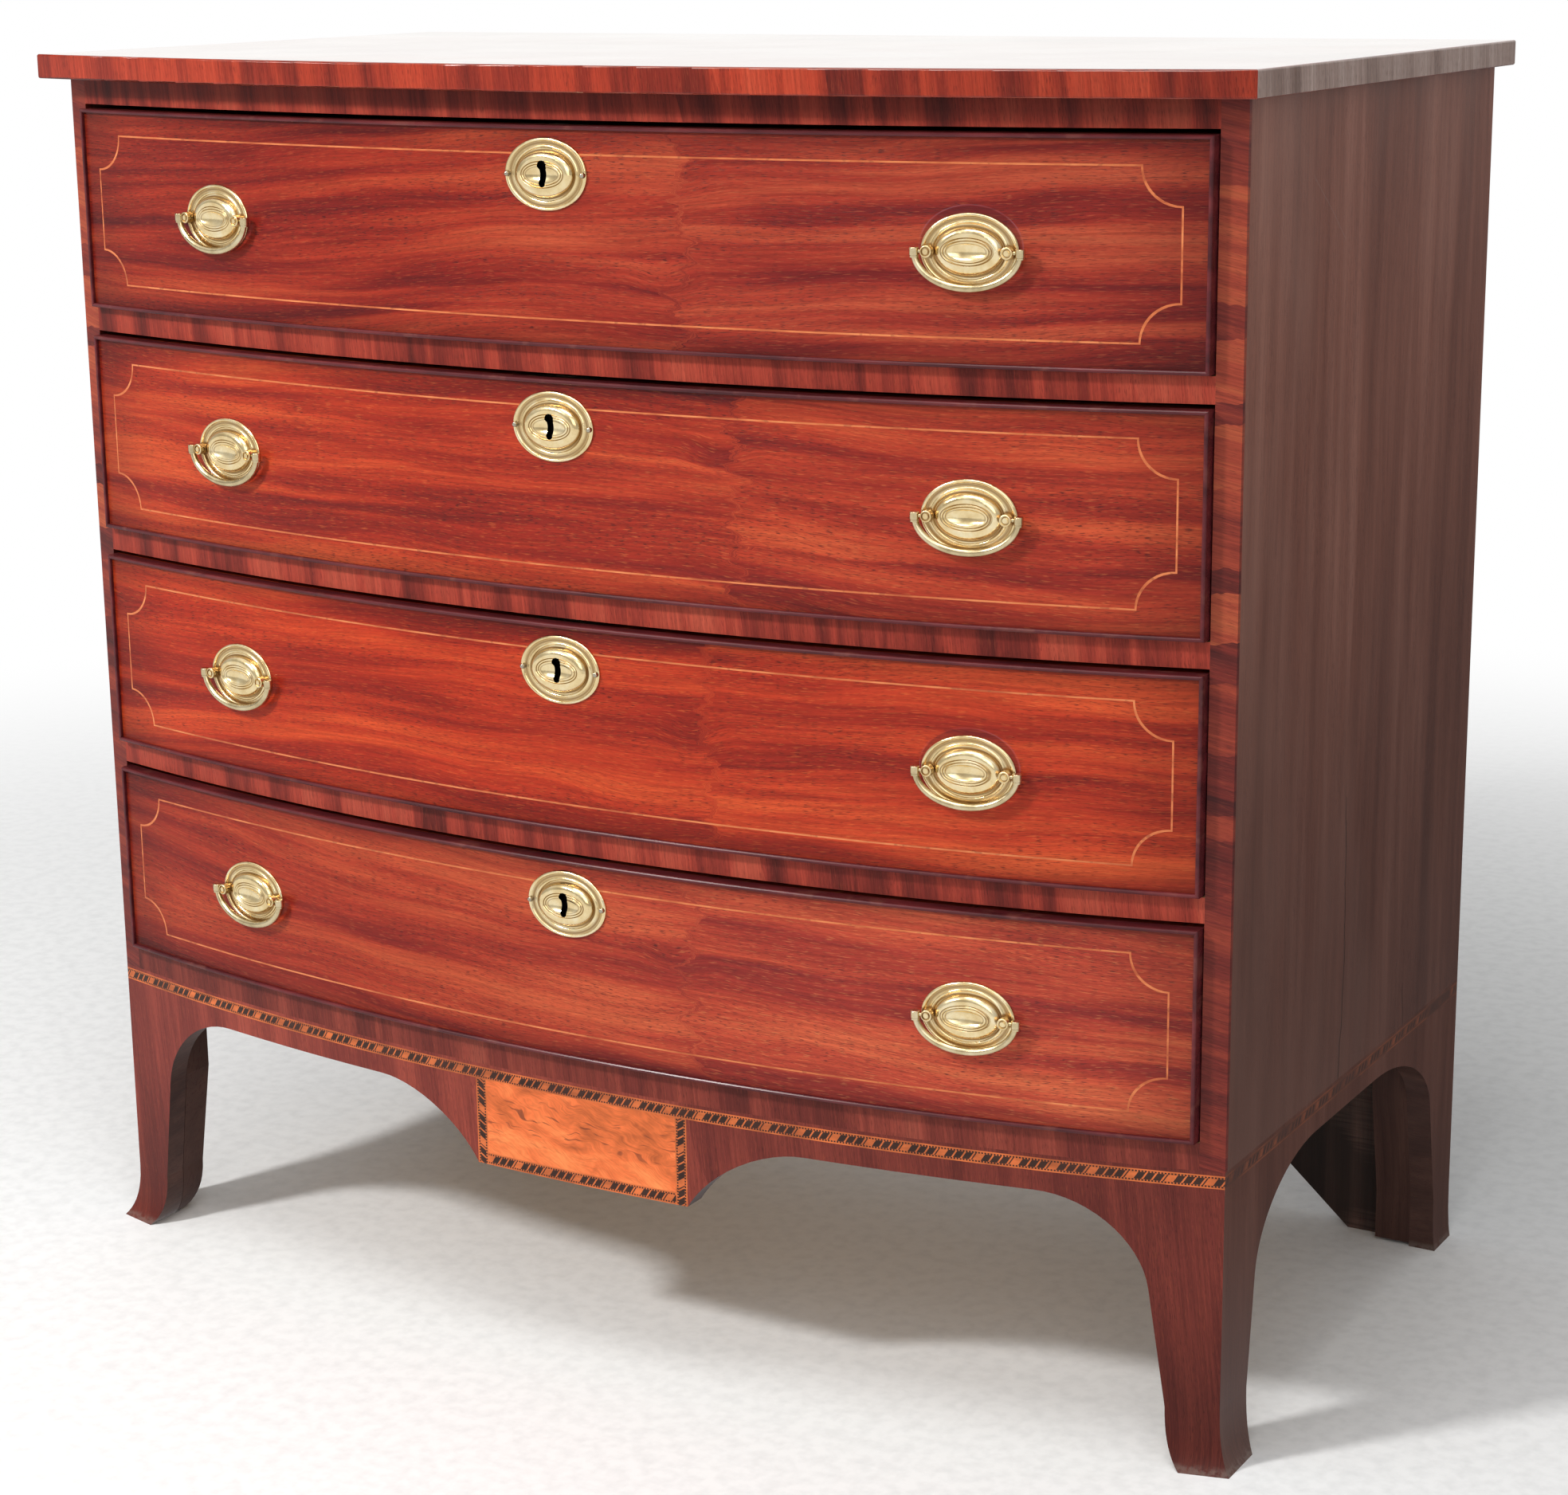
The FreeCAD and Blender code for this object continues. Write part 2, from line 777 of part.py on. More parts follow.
def make_stringing():
    """Inlaid line with hollow corners, let into the face of a drawer front."""
    def outline(shrink):
        x = drawer_half - string_inset - shrink
        z0 = drawer_bottom + string_inset + shrink
        z1 = drawer_top - string_inset - shrink
        r = string_corner
        d = r * math.sqrt(0.5)
        y = corner_y - 2 * bow_rise
        return face_from(Vector(-x + r, y, z0), [
            (Vector(x - r, y, z0),),
            (Vector(x - d, y, z0 + d), Vector(x, y, z0 + r)),
            (Vector(x, y, z1 - r),),
            (Vector(x - d, y, z1 - d), Vector(x - r, y, z1)),
            (Vector(-x + r, y, z1),),
            (Vector(-x + d, y, z1 - d), Vector(-x, y, z1 - r)),
            (Vector(-x, y, z0 + r),),
            (Vector(-x + d, y, z0 + d), Vector(-x + r, y, z0)),
        ]).extrude(Vector(0, 3 * bow_rise, 0))

    line = outline(0).cut(outline(string_width))
    skin = bowed_skin(-drawer_half, drawer_half, drawer_proud, string_depth - drawer_proud,
                      drawer_bottom, drawer_top)
    return line.common(skin)


def nose_points():
    """Corners of the nose of the cockbead, as distances ahead of the case line and across the bead."""
    nose = bead_thickness / 2
    middle = drawer_proud + bead_proud - nose
    turns = [math.pi * n / nose_flats for n in range(nose_flats + 1)]
    return [(middle + nose * math.sin(turn), nose - nose * math.cos(turn)) for turn in turns]


def make_cockbead():
    """Four strips with rounded noses, mitred round a drawer front."""
    root = drawer_proud - bead_seat
    x0, x1 = drawer_half - bead_thickness, drawer_half
    z0, z1 = drawer_bottom, drawer_top
    y = corner_y - 2 * bow_rise
    away = Vector(0, 3 * bow_rise, 0)
    hub = Vector(0, bow_centre_y, 0)
    up = Vector(0, 0, 1)
    turn = math.degrees(math.asin((drawer_half + bead_thickness) / (bow_radius + root)))
    strips = []
    for outside, inward in ((z0, 1), (z1, -1)):
        inside = outside + inward * bead_thickness
        steps = [(bow_point(0, ahead, outside + inward * across),) for ahead, across in nose_points()]
        steps += [(bow_point(0, root, inside),), (bow_point(0, root, outside),)]
        section = face_from(bow_point(0, root, outside), steps)
        section.rotate(hub, up, -turn)
        keep = prism([Vector(-x1, y, outside), Vector(x1, y, outside), Vector(x0, y, inside),
                      Vector(-x0, y, inside)], away)
        strips.append(section.revolve(hub, up, 2 * turn).common(keep).Solids[0])
    steps = [(bow_point(x0 + across, ahead, z0),) for ahead, across in nose_points()]
    steps += [(bow_point(x1, root, z0),)]
    steps += [(bow_point((x0 + x1) / 2, root, z0), bow_point(x0, root, z0))]
    section = face_from(bow_point(x0, root, z0), steps)
    low, high = z0 + mitre_clearance, z1 - mitre_clearance
    keep = prism([Vector(x1, y, low), Vector(x1, y, high), Vector(x0, y, high - bead_thickness),
                  Vector(x0, y, low + bead_thickness)], away)
    post = section.extrude(Vector(0, 0, z1 - z0)).common(keep).Solids[0]
    return strips + both_sides(post)


def make_bead_room():
    """Rabbet round the face of a drawer front for the cockbead."""
    behind = bead_seat - drawer_proud
    ahead = drawer_proud + bead_proud
    whole = bowed_skin(-drawer_half, drawer_half, ahead, behind, drawer_bottom, drawer_top)
    inner = drawer_half - bead_thickness
    core = bowed_skin(-inner, inner, drawer_proud + bead_proud, behind,
                      drawer_bottom + bead_thickness, drawer_top - bead_thickness)
    return whole.cut(core)


def make_tails(tip, root, x0, x1):
    """Dovetails along an end of a box side, wide at the tip and narrow at the root."""
    pitch = (drawer_height - box_side_drop) / tail_count
    tails = []
    for n in range(tail_count):
        middle = drawer_bottom + (n + 0.5) * pitch
        wide = tail_tip / 2
        thin = tail_root / 2
        points = [Vector(x0, tip, middle - wide), Vector(x0, tip, middle + wide),
                  Vector(x0, root, middle + thin), Vector(x0, root, middle - thin)]
        tails.append(prism(points, Vector(x1 - x0, 0, 0)))
    return tails


def make_bottom_panel(extra):
    reach = drawer_half - box_side_thickness + bottom_panel_tongue + extra
    return bowed_board(-reach, reach, bottom_panel_tongue + extra - front_behind, drawer_rear + extra,
                       bottom_panel_lift, bottom_panel_lift + bottom_panel_thickness)


def make_lock():
    half = lock_width / 2
    case = block(-half, half, lock_front, lock_back, drawer_top - lock_height, drawer_top)
    half_bolt = bolt_width / 2 + slip
    half_thick = bolt_thickness / 2 + slip
    floor = drawer_top - bolt_down - bolt_height - slip
    room = block(-half_bolt, half_bolt, bolt_y - half_thick, bolt_y + half_thick, floor, drawer_top)
    return case.cut(room)


def make_bolt():
    half = bolt_width / 2
    thick = bolt_thickness / 2
    top = drawer_top - bolt_down
    return block(-half, half, bolt_y - thick, bolt_y + thick, top - bolt_height, top)


def make_drawer():
    """Every piece of one drawer, standing on the plane Z = 0."""
    front = bowed_skin(-drawer_half, drawer_half, drawer_proud, front_behind, drawer_bottom, drawer_top)
    x0, x1 = drawer_half - box_side_thickness, drawer_half
    tip = bow_y(x1, drawer_proud) + bead_seat + tail_lap
    root = bow_y(x1, -front_behind)
    side_top = drawer_top - box_side_drop
    panel_top = bottom_panel_lift + bottom_panel_thickness
    front_tails = make_tails(tip, root, x0, x1)
    rear_tails = make_tails(drawer_rear, drawer_rear - box_back_thickness, x0, x1)
    groove = make_bottom_panel(slip)
    plate_places = [(-pull_spread, pull_height), (pull_spread, pull_height), (0, keyhole_height)]
    seats = [at_front(make_plate_seat(), x, z) for x, z in plate_places]
    stringing = cut_all(make_stringing(), seats)

    lock_half = lock_width / 2
    lock_room = block(-lock_half, lock_half, lock_front, lock_back + front_thickness,
                      drawer_top - lock_height, drawer_top)
    tools = [make_bead_room(), groove, lock_room, make_stringing()] + seats
    for tail in front_tails:
        tools += both_sides(tail)
    for sign in (-1, 1):
        for x in (-post_spread, post_spread):
            tools.append(at_front(make_post_room(x), sign * pull_spread, pull_height))
    hole = moved(make_keyhole(-front_thickness, lock_front - lock_back + front_thickness), 0, 0,
                 keyhole_slot_length / 2)
    tools.append(at_front(hole, 0, keyhole_height))
    for x in nail_places():
        tools.append(at_front(rod(nail_radius + seat_clearance, -front_thickness, nail_length, x), 0,
                              keyhole_height))
    front = cut_all(front, tools)

    back = block(-drawer_half, drawer_half, drawer_rear - box_back_thickness, drawer_rear,
                 panel_top, drawer_top - box_back_drop)
    side = block(x0, x1, tip, drawer_rear, 0, side_top)
    lip = block(x0, x1, tip, root, 0, drawer_bottom)
    for tail in rear_tails:
        back = cut_all(back, both_sides(tail))
    side = cut_all(side, [front, back, groove, lip])

    pull_plate = make_pull_plate()
    plates = [at_front(pull_plate, x, z) for x, z in plate_places[:2]]
    plates.append(at_front(make_key_plate(), 0, keyhole_height))
    posts = []
    for sign in (-1, 1):
        for x in (-post_spread, post_spread):
            posts.append(at_front(make_post(x), sign * pull_spread, pull_height))
    nails = [at_front(nail, 0, keyhole_height) for nail in make_nails()]
    bail = make_bail()
    return {
        "front": [front],
        "cockbead": make_cockbead(),
        "box": both_sides(side) + [back],
        "bottom": [make_bottom_panel(0)],
        "stringing": [stringing],
        "lock": [make_lock()],
        "lock_bolt": [make_bolt()],
        "plates": plates + nails,
        "posts": posts,
        "bail_left": [at_front(bail, -pull_spread, pull_height)],
        "bail_right": [at_front(bail, pull_spread, pull_height)],
    }


def make_case():
    """Every piece that stays still."""
    bands = make_bands()
    panel = make_panel()
    front_apron = cut_all(make_front_apron(), bands + [panel])
    side_apron = cut_all(make_side_apron(), bands)
    dividers = []
    runners = []
    stops = make_stops(levels[-1])
    for level in levels[:-1]:
        divider = make_rail(level - divider_thickness, level, corner_y + divider_back)
        dividers.append(divider.cut(make_mortise(level - divider_thickness)))
        runners += both_sides(make_runner(level - divider_thickness, level, backboard_front))
        stops += make_stops(level)
    runners += both_sides(make_runner(top_rail_z, case_top, backboard_front - rear_rail_width))
    reach = opening_half + housing_depth
    top_rail = make_rail(top_rail_z, case_top, corner_y + divider_back).cut(make_mortise(top_rail_z))
    rear_rail = block(-reach, reach, backboard_front - rear_rail_width, backboard_front, top_rail_z, case_top)
    side = make_side()
    return {
        "top_board": [make_top()],
        "right_side": [side],
        "left_side": [mirrored(side)],
        "corner_stiles": both_sides(make_stile()),
        "top_rails": [top_rail, rear_rail],
        "drawer_dividers": dividers,
        "bottom_board": [make_rail(base_height, bottom_top, backboard_front)],
        "drawer_runners": runners,
        "drawer_stops": stops,
        "backboards": make_backboards(),
        "front_apron": [front_apron],
        "side_aprons": both_sides(side_apron),
        "rear_brackets": both_sides(make_rear_bracket()),
        "glue_blocks": make_glue_blocks(),
        "inlay_banding": bands,
        "apron_panel": [panel],
    }


os.makedirs("parts", exist_ok=True)
for name, solids in make_case().items():
    save(name, solids)
for name, solids in make_drawer().items():
    for number, level in enumerate(levels, start=1):
        save("drawer_%d_%s" % (number, name), [moved(solid, 0, 0, level) for solid in solids])
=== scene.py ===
import math

import bpy
from mathutils import Matrix, Vector


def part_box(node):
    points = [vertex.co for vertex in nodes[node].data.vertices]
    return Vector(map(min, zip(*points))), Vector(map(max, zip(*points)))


# Looks of a bow front chest of drawers: veneers, inlay, brasses, light and camera.
# Metres; X is the width, the front faces -Y, Z is up. Colours are linear.

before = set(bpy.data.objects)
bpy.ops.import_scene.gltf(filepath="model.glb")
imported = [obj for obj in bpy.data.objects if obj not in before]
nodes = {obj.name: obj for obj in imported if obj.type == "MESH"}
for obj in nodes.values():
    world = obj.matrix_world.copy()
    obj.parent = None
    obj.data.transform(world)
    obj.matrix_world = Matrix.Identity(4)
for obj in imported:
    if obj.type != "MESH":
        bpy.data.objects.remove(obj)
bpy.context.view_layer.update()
scene = bpy.context.scene
scene.view_settings.view_transform = "Standard"

DRAWERS = (1, 2, 3, 4)
X, Y, Z = 0, 1, 2


class Graph:
    """A node tree put together node by node."""

    def __init__(self, tree):
        self.tree = tree
        tree.nodes.clear()
        coordinates = tree.nodes.new("ShaderNodeTexCoord")
        self.place = coordinates.outputs["Object"]
        self.facing = coordinates.outputs["Normal"]
        self.direction = coordinates.outputs["Generated"]

    def put(self, socket, value):
        if isinstance(value, bpy.types.NodeSocket):
            self.tree.links.new(value, socket)
        else:
            socket.default_value = value

    def new(self, kind, **settings):
        node = self.tree.nodes.new(kind)
        for key, value in settings.items():
            setattr(node, key, value)
        return node

    def math(self, operation, first, second=0.0):
        node = self.new("ShaderNodeMath", operation=operation)
        self.put(node.inputs[0], first)
        self.put(node.inputs[1], second)
        return node.outputs[0]

    def add(self, first, second):
        return self.math("ADD", first, second)

    def less(self, first, second):
        return self.math("SUBTRACT", first, second)

    def times(self, first, second):
        return self.math("MULTIPLY", first, second)

    def size(self, value):
        return self.math("ABSOLUTE", value)

    def above(self, value, limit):
        return self.math("GREATER_THAN", value, limit)

    def most(self, *values):
        result = values[0]
        for value in values[1:]:
            result = self.math("MAXIMUM", result, value)
        return result

    def length(self, first, second):
        return self.math("SQRT", self.add(self.times(first, first), self.times(second, second)))

    def split(self, vector):
        node = self.new("ShaderNodeSeparateXYZ")
        self.put(node.inputs[0], vector)
        return node.outputs[0], node.outputs[1], node.outputs[2]

    def join(self, x, y, z):
        node = self.new("ShaderNodeCombineXYZ")
        for socket, value in zip(node.inputs, (x, y, z)):
            self.put(socket, value)
        return node.outputs[0]

    def stretch(self, vector, scale):
        node = self.new("ShaderNodeVectorMath", operation="MULTIPLY")
        self.put(node.inputs[0], vector)
        node.inputs[1].default_value = scale
        return node.outputs[0]

    def noise(self, vector, scale, detail=2.0, roughness=0.5, distortion=0.0):
        """Noise with so many waves per metre along each axis of the vector."""
        node = self.new("ShaderNodeTexNoise")
        self.put(node.inputs["Vector"], self.stretch(vector, scale))
        node.inputs["Scale"].default_value = 1.0
        node.inputs["Detail"].default_value = detail
        node.inputs["Roughness"].default_value = roughness
        node.inputs["Distortion"].default_value = distortion
        return node.outputs["Fac"]

    def cells(self, along, scale):
        """Random tone for each stretch of a line."""
        node = self.new("ShaderNodeTexVoronoi", voronoi_dimensions="1D")
        self.put(node.inputs["W"], along)
        node.inputs["Scale"].default_value = scale
        return self.split(node.outputs["Color"])[0]

    def fade(self, value, low, high, start=0.0, end=1.0):
        """Goes smoothly from start to end as the value goes from low to high."""
        node = self.new("ShaderNodeMapRange", clamp=True, interpolation_type="SMOOTHSTEP")
        self.put(node.inputs["Value"], value)
        for key, number in (("From Min", low), ("From Max", high), ("To Min", start), ("To Max", end)):
            self.put(node.inputs[key], number)
        return node.outputs["Result"]

    def near(self, value, middle, reach):
        """1 at a value, falling to 0 a little way from it."""
        return self.fade(self.size(self.less(value, middle)), 0.0, reach, 1.0, 0.0)

    def ramp(self, value, stops, steps=False):
        node = self.new("ShaderNodeValToRGB")
        self.put(node.inputs[0], value)
        node.color_ramp.interpolation = "CONSTANT" if steps else "LINEAR"
        elements = node.color_ramp.elements
        while len(elements) < len(stops):
            elements.new(0.5)
        for element, (spot, colour) in zip(elements, stops):
            element.position = spot
            element.color = (*colour, 1.0)
        return node.outputs[0]

    def mix(self, share, first, second, blend="MIX"):
        node = self.new("ShaderNodeMix", data_type="RGBA", blend_type=blend)
        self.put(node.inputs[0], share)
        for socket, value in ((node.inputs[6], first), (node.inputs[7], second)):
            self.put(socket, value if isinstance(value, bpy.types.NodeSocket) else (*value, 1.0))
        return node.outputs[2]

    def shade(self, colour, value):
        """Colour made darker or brighter by a number."""
        return self.mix(1.0, colour, self.join(value, value, value), "MULTIPLY")


class Surface(Graph):
    """A material."""

    def __init__(self, name):
        self.material = bpy.data.materials.new(name)
        self.material.use_nodes = True
        super().__init__(self.material.node_tree)
        self.shader = self.new("ShaderNodeBsdfPrincipled")
        self.output = self.new("ShaderNodeOutputMaterial")
        self.put(self.output.inputs[0], self.shader.outputs[0])

    def bump(self, height, distance, strength):
        node = self.new("ShaderNodeBump")
        node.inputs["Strength"].default_value = strength
        node.inputs["Distance"].default_value = distance
        self.put(node.inputs["Height"], height)
        self.put(self.shader.inputs["Normal"], node.outputs[0])

    def finish(self, colour, roughness, specular, metallic=0.0, coat=0.0, coat_roughness=0.1):
        inputs = self.shader.inputs
        self.put(inputs["Base Color"], colour)
        self.put(inputs["Roughness"], roughness)
        inputs["Specular IOR Level"].default_value = specular
        inputs["Metallic"].default_value = metallic
        self.put(inputs["Coat Weight"], coat)
        inputs["Coat Roughness"].default_value = coat_roughness
        return self.material


def dress(material, *names):
    """Gives a material to CAD nodes."""
    for name in names:
        nodes[name].data.materials.clear()
        nodes[name].data.materials.append(material)


# Tones of each wood, from its dark figure to its bright figure.
PINE_TONES = (
    (0.34, (0.360, 0.195, 0.080)),
    (0.50, (0.480, 0.290, 0.135)),
    (0.66, (0.580, 0.380, 0.190)),
)
OLD_PINE_TONES = (
    (0.34, (0.130, 0.075, 0.042)),
    (0.50, (0.215, 0.130, 0.072)),
    (0.66, (0.300, 0.190, 0.108)),
)
STAINED_TONES = (
    (0.34, (0.014, 0.009, 0.008)),
    (0.50, (0.026, 0.016, 0.013)),
    (0.68, (0.060, 0.034, 0.027)),
)
FOOT_TONES = (
    (0.34, (0.036, 0.015, 0.012)),
    (0.50, (0.062, 0.028, 0.021)),
    (0.68, (0.105, 0.050, 0.038)),
)
DRAWER_TONES = (
    (0.28, (0.115, 0.008, 0.009)),
    (0.42, (0.225, 0.015, 0.010)),
    (0.54, (0.335, 0.029, 0.014)),
    (0.68, (0.430, 0.054, 0.022)),
    (0.82, (0.480, 0.080, 0.032)),
)
RAIL_TONES = (
    (0.22, (0.050, 0.009, 0.008)),
    (0.38, (0.190, 0.024, 0.017)),
    (0.54, (0.345, 0.046, 0.028)),
    (0.76, (0.440, 0.080, 0.046)),
)
STILE_TONES = (
    (0.22, (0.050, 0.009, 0.009)),
    (0.42, (0.150, 0.020, 0.015)),
    (0.60, (0.290, 0.046, 0.024)),
    (0.80, (0.420, 0.098, 0.040)),
)
TOP_EDGE_TONES = (
    (0.24, (0.070, 0.010, 0.008)),
    (0.42, (0.210, 0.023, 0.013)),
    (0.58, (0.360, 0.042, 0.019)),
    (0.78, (0.470, 0.072, 0.034)),
)
# Pale grey side edges of the top, partly painted sheen.
SIDE_EDGE_SHEEN_TONES = (
    (0.24, (0.230, 0.152, 0.128)),
    (0.50, (0.420, 0.305, 0.268)),
    (0.78, (0.560, 0.430, 0.385)),
)
APRON_TONES = (
    (0.24, (0.060, 0.013, 0.011)),
    (0.42, (0.142, 0.025, 0.019)),
    (0.58, (0.228, 0.043, 0.029)),
    (0.78, (0.320, 0.078, 0.050)),
)
SIDE_TONES = (
    (0.34, (0.082, 0.025, 0.015)),
    (0.50, (0.128, 0.045, 0.029)),
    (0.68, (0.185, 0.078, 0.055)),
)
TOP_TONES = (
    (0.34, (0.110, 0.014, 0.011)),
    (0.50, (0.230, 0.034, 0.020)),
    (0.68, (0.340, 0.066, 0.032)),
)
PANEL_TONES = (
    (0.30, (0.290, 0.064, 0.018)),
    (0.42, (0.530, 0.118, 0.031)),
    (0.54, (0.735, 0.160, 0.045)),
    (0.70, (0.885, 0.245, 0.074)),
)
BEAD_TONES = (
    (0.32, (0.050, 0.008, 0.011)),
    (0.55, (0.100, 0.014, 0.018)),
    (0.75, (0.160, 0.024, 0.026)),
)
BOXWOOD_TONES = (
    (0.34, (0.400, 0.086, 0.030)),
    (0.50, (0.560, 0.150, 0.052)),
    (0.66, (0.670, 0.215, 0.080)),
)
DARK_PORE = (0.040, 0.007, 0.007)
BRIGHT_FLECK = (0.600, 0.150, 0.055)


def fine_grain(graph, grain, colour, pore_share=0.75, fleck_share=0.25, fibre_low=0.80, fibre_high=1.18):
    """Adds fibres, short dark pores and bright flecks that run along the first axis of grain."""
    fibre = graph.noise(grain, (14, 520, 60), detail=3.0, roughness=0.65)
    colour = graph.shade(colour, graph.fade(fibre, 0.3, 0.7, fibre_low, fibre_high))
    flecks = graph.fade(graph.noise(grain, (95, 1150, 200), detail=1.5), 0.58, 0.70)
    colour = graph.mix(graph.times(flecks, fleck_share), colour, BRIGHT_FLECK)
    crowd = graph.fade(graph.noise(grain, (5, 40, 10)), 0.35, 0.65, 0.45, 1.0)
    pores = graph.fade(graph.noise(grain, (150, 1900, 300), detail=1.5), 0.55, 0.66)
    pores = graph.times(pores, crowd)
    colour = graph.mix(graph.times(pores, pore_share), colour, DARK_PORE)
    return colour, graph.less(graph.times(fibre, 0.4), pores)


def cross_colour(graph, run, short, tones, patches, seed, contrast):
    """Short grained veneer in patches of different tone, with the grain across the run of the band."""
    leaning = graph.add(run, graph.times(short, 0.10))
    shifted = graph.add(leaning, graph.times(graph.noise(graph.place, (9, 9, 9), detail=1.0), 0.05))
    tone = graph.cells(graph.add(shifted, seed), patches)
    grain = graph.join(short, leaning, seed)
    wide = graph.noise(grain, (3.0, 34.0, 1.0), detail=2.5, roughness=0.55, distortion=0.5)
    wide = graph.fade(wide, 0.32, 0.68)
    narrow = graph.noise(grain, (5.0, 150.0, 1.0), detail=3.0, roughness=0.6)
    figure = graph.add(graph.times(wide, 0.46), graph.times(narrow, 0.24))
    figure = graph.add(figure, graph.times(tone, 0.30))
    figure = graph.add(graph.times(figure, contrast), 0.5 - 0.5 * contrast)
    return fine_grain(graph, grain, graph.ramp(figure, tones), pore_share=0.5, fleck_share=0.10)


def board_colour(graph, along, across, tones, broad=(1.6, 17.0), pores=0.5, flecks=0.0):
    """Straight grained board; broad is the waves per metre of its widest figure."""
    spots = graph.split(graph.place)
    depth = spots[X + Y + Z - along - across]
    warp = graph.noise(graph.join(spots[along], spots[across], depth), (1.5, 6.0, 6.0))
    grain = graph.join(spots[along], graph.add(spots[across], graph.times(warp, 0.035)), depth)
    broad_scale = (broad[0], broad[1], broad[1] * 0.4)
    wide = graph.noise(grain, broad_scale, detail=3.0, roughness=0.55, distortion=0.3)
    rings = graph.noise(grain, (2.5, broad[1] * 4.5, 20.0), detail=3.0, roughness=0.55)
    colour = graph.ramp(graph.add(graph.times(wide, 0.6), graph.times(rings, 0.4)), tones)
    return fine_grain(graph, grain, colour, pores, flecks, fibre_low=0.88, fibre_high=1.10)


# Where the two leaves of each drawer's veneer meet, how far the dark knot beside
# the seam lies above the middle of the drawer, and how the grain slopes.
SEAMS = {1: 0.110, 2: 0.150, 3: 0.124, 4: 0.106}
KNOTS = {1: -0.030, 2: 0.030, 3: 0.004, 4: 0.012}
SLOPES = {1: -0.035, 2: 0.030, 3: -0.020, 4: 0.045}
SEAM_BLUR = 0.003
KNOT_FROM_SEAM = 0.012
KNOT_STEEPNESS = (26.0, 45.0)
# Tone of each drawer at its left and at its right, and the strength of its streaks. The green and blue raised
# on the right are partly painted sheen.
LEFT_LEVELS = {
    1: (0.82, 0.79, 0.76),
    2: (1.15, 1.21, 0.90),
    3: (1.17, 1.03, 0.66),
    4: (0.92, 1.00, 0.92),
}
RIGHT_TONE_AND_SHEEN = {
    1: (0.85, 1.05, 1.20),
    2: (1.10, 1.40, 1.28),
    3: (1.22, 1.32, 0.95),
    4: (1.32, 2.15, 2.20),
}
STREAK_MIDDLE = 0.515
STREAKS = {1: 1.00, 2: 0.86, 3: 0.76, 4: 0.74}
# Drawers on which an older pull has left its mark round the right plate.
GHOSTS = (1, 3)
GHOST_SHIFT = (0.0006, 0.0028)
GHOST_HALF = (0.0364, 0.0284)
GHOST_DARK = (0.085, 0.010, 0.013)
GHOST_RING = (0.230, 0.090, 0.115)
PULL_X = 0.326
KEY_DROP = 0.0345
KEY_REACH = 0.018
# Painted shade: near black for the walls of the keyholes.
KEYHOLE_SHADE = (0.010, 0.006, 0.005)


def drawer_figure(graph, number, x, z, middle):
    """Grain and figure of two leaves of veneer, bent round a knot beside their seam."""
    seam = SEAMS[number]
    ragged = graph.less(graph.noise(graph.place, (7, 7, 60), detail=3.0, roughness=0.6), 0.5)
    leaf = graph.fade(graph.add(x, graph.times(ragged, 0.10)), seam - SEAM_BLUR, seam + SEAM_BLUR)
    knot = graph.length(graph.times(graph.less(x, seam - KNOT_FROM_SEAM), KNOT_STEEPNESS[0]),
                        graph.times(graph.less(z, middle + KNOTS[number]), KNOT_STEEPNESS[1]))
    knot = graph.fade(knot, 0.0, 1.0, 1.0, 0.0)
    along = graph.add(graph.add(x, graph.times(leaf, 1.7)), number * 3.1)
    across = graph.add(graph.add(z, graph.times(leaf, 0.41)), graph.times(x, SLOPES[number]))
    across = graph.add(across, graph.times(knot, 0.007))
    sway = graph.less(graph.noise(graph.join(along, across, 0.0), (2.0, 6.0, 1.0)), 0.5)
    ripple = graph.less(graph.noise(graph.join(along, across, 3.0), (8.0, 30.0, 1.0)), 0.5)
    across = graph.add(across, graph.add(graph.times(sway, 0.055), graph.times(ripple, 0.008)))
    grain = graph.join(along, across, float(number))
    nearly_whole = graph.join(graph.less(along, graph.times(leaf, 1.66)),
                              graph.less(across, graph.times(leaf, 0.40)), number)
    broad = graph.fade(graph.noise(nearly_whole, (2.0, 22.0, 1.0), distortion=0.3), 0.32, 0.68)
    ribbon = graph.fade(graph.noise(grain, (2.4, 52.0, 1.0), distortion=0.3), 0.34, 0.66)
    streak = graph.noise(grain, (4.0, 135.0, 1.0), detail=4.0, roughness=0.6)
    figure = graph.add(graph.times(broad, 0.25), graph.times(ribbon, 0.23))
    figure = graph.add(graph.add(figure, graph.times(streak, 0.36)), 0.095)
    figure = graph.add(graph.times(figure, STREAKS[number]), STREAK_MIDDLE * (1.0 - STREAKS[number]))
    return grain, graph.less(figure, graph.times(knot, 0.035))


def pull_ghost(graph, colour, grain, x, z, middle):
    """Dark oval with a pale broken rim, left by an older plate."""
    ring = graph.length(graph.times(graph.less(x, PULL_X + GHOST_SHIFT[0]), 1 / GHOST_HALF[0]),
                        graph.times(graph.less(z, middle + GHOST_SHIFT[1]), 1 / GHOST_HALF[1]))
    colour = graph.mix(graph.fade(ring, 0.96, 1.0, 0.55, 0.0), colour, GHOST_DARK)
    rim = graph.near(ring, 1.0, 0.022)
    rim = graph.times(rim, graph.fade(graph.noise(grain, (40, 90, 1), detail=1.0), 0.3, 0.6))
    return graph.mix(graph.times(rim, 0.50), colour, GHOST_RING)


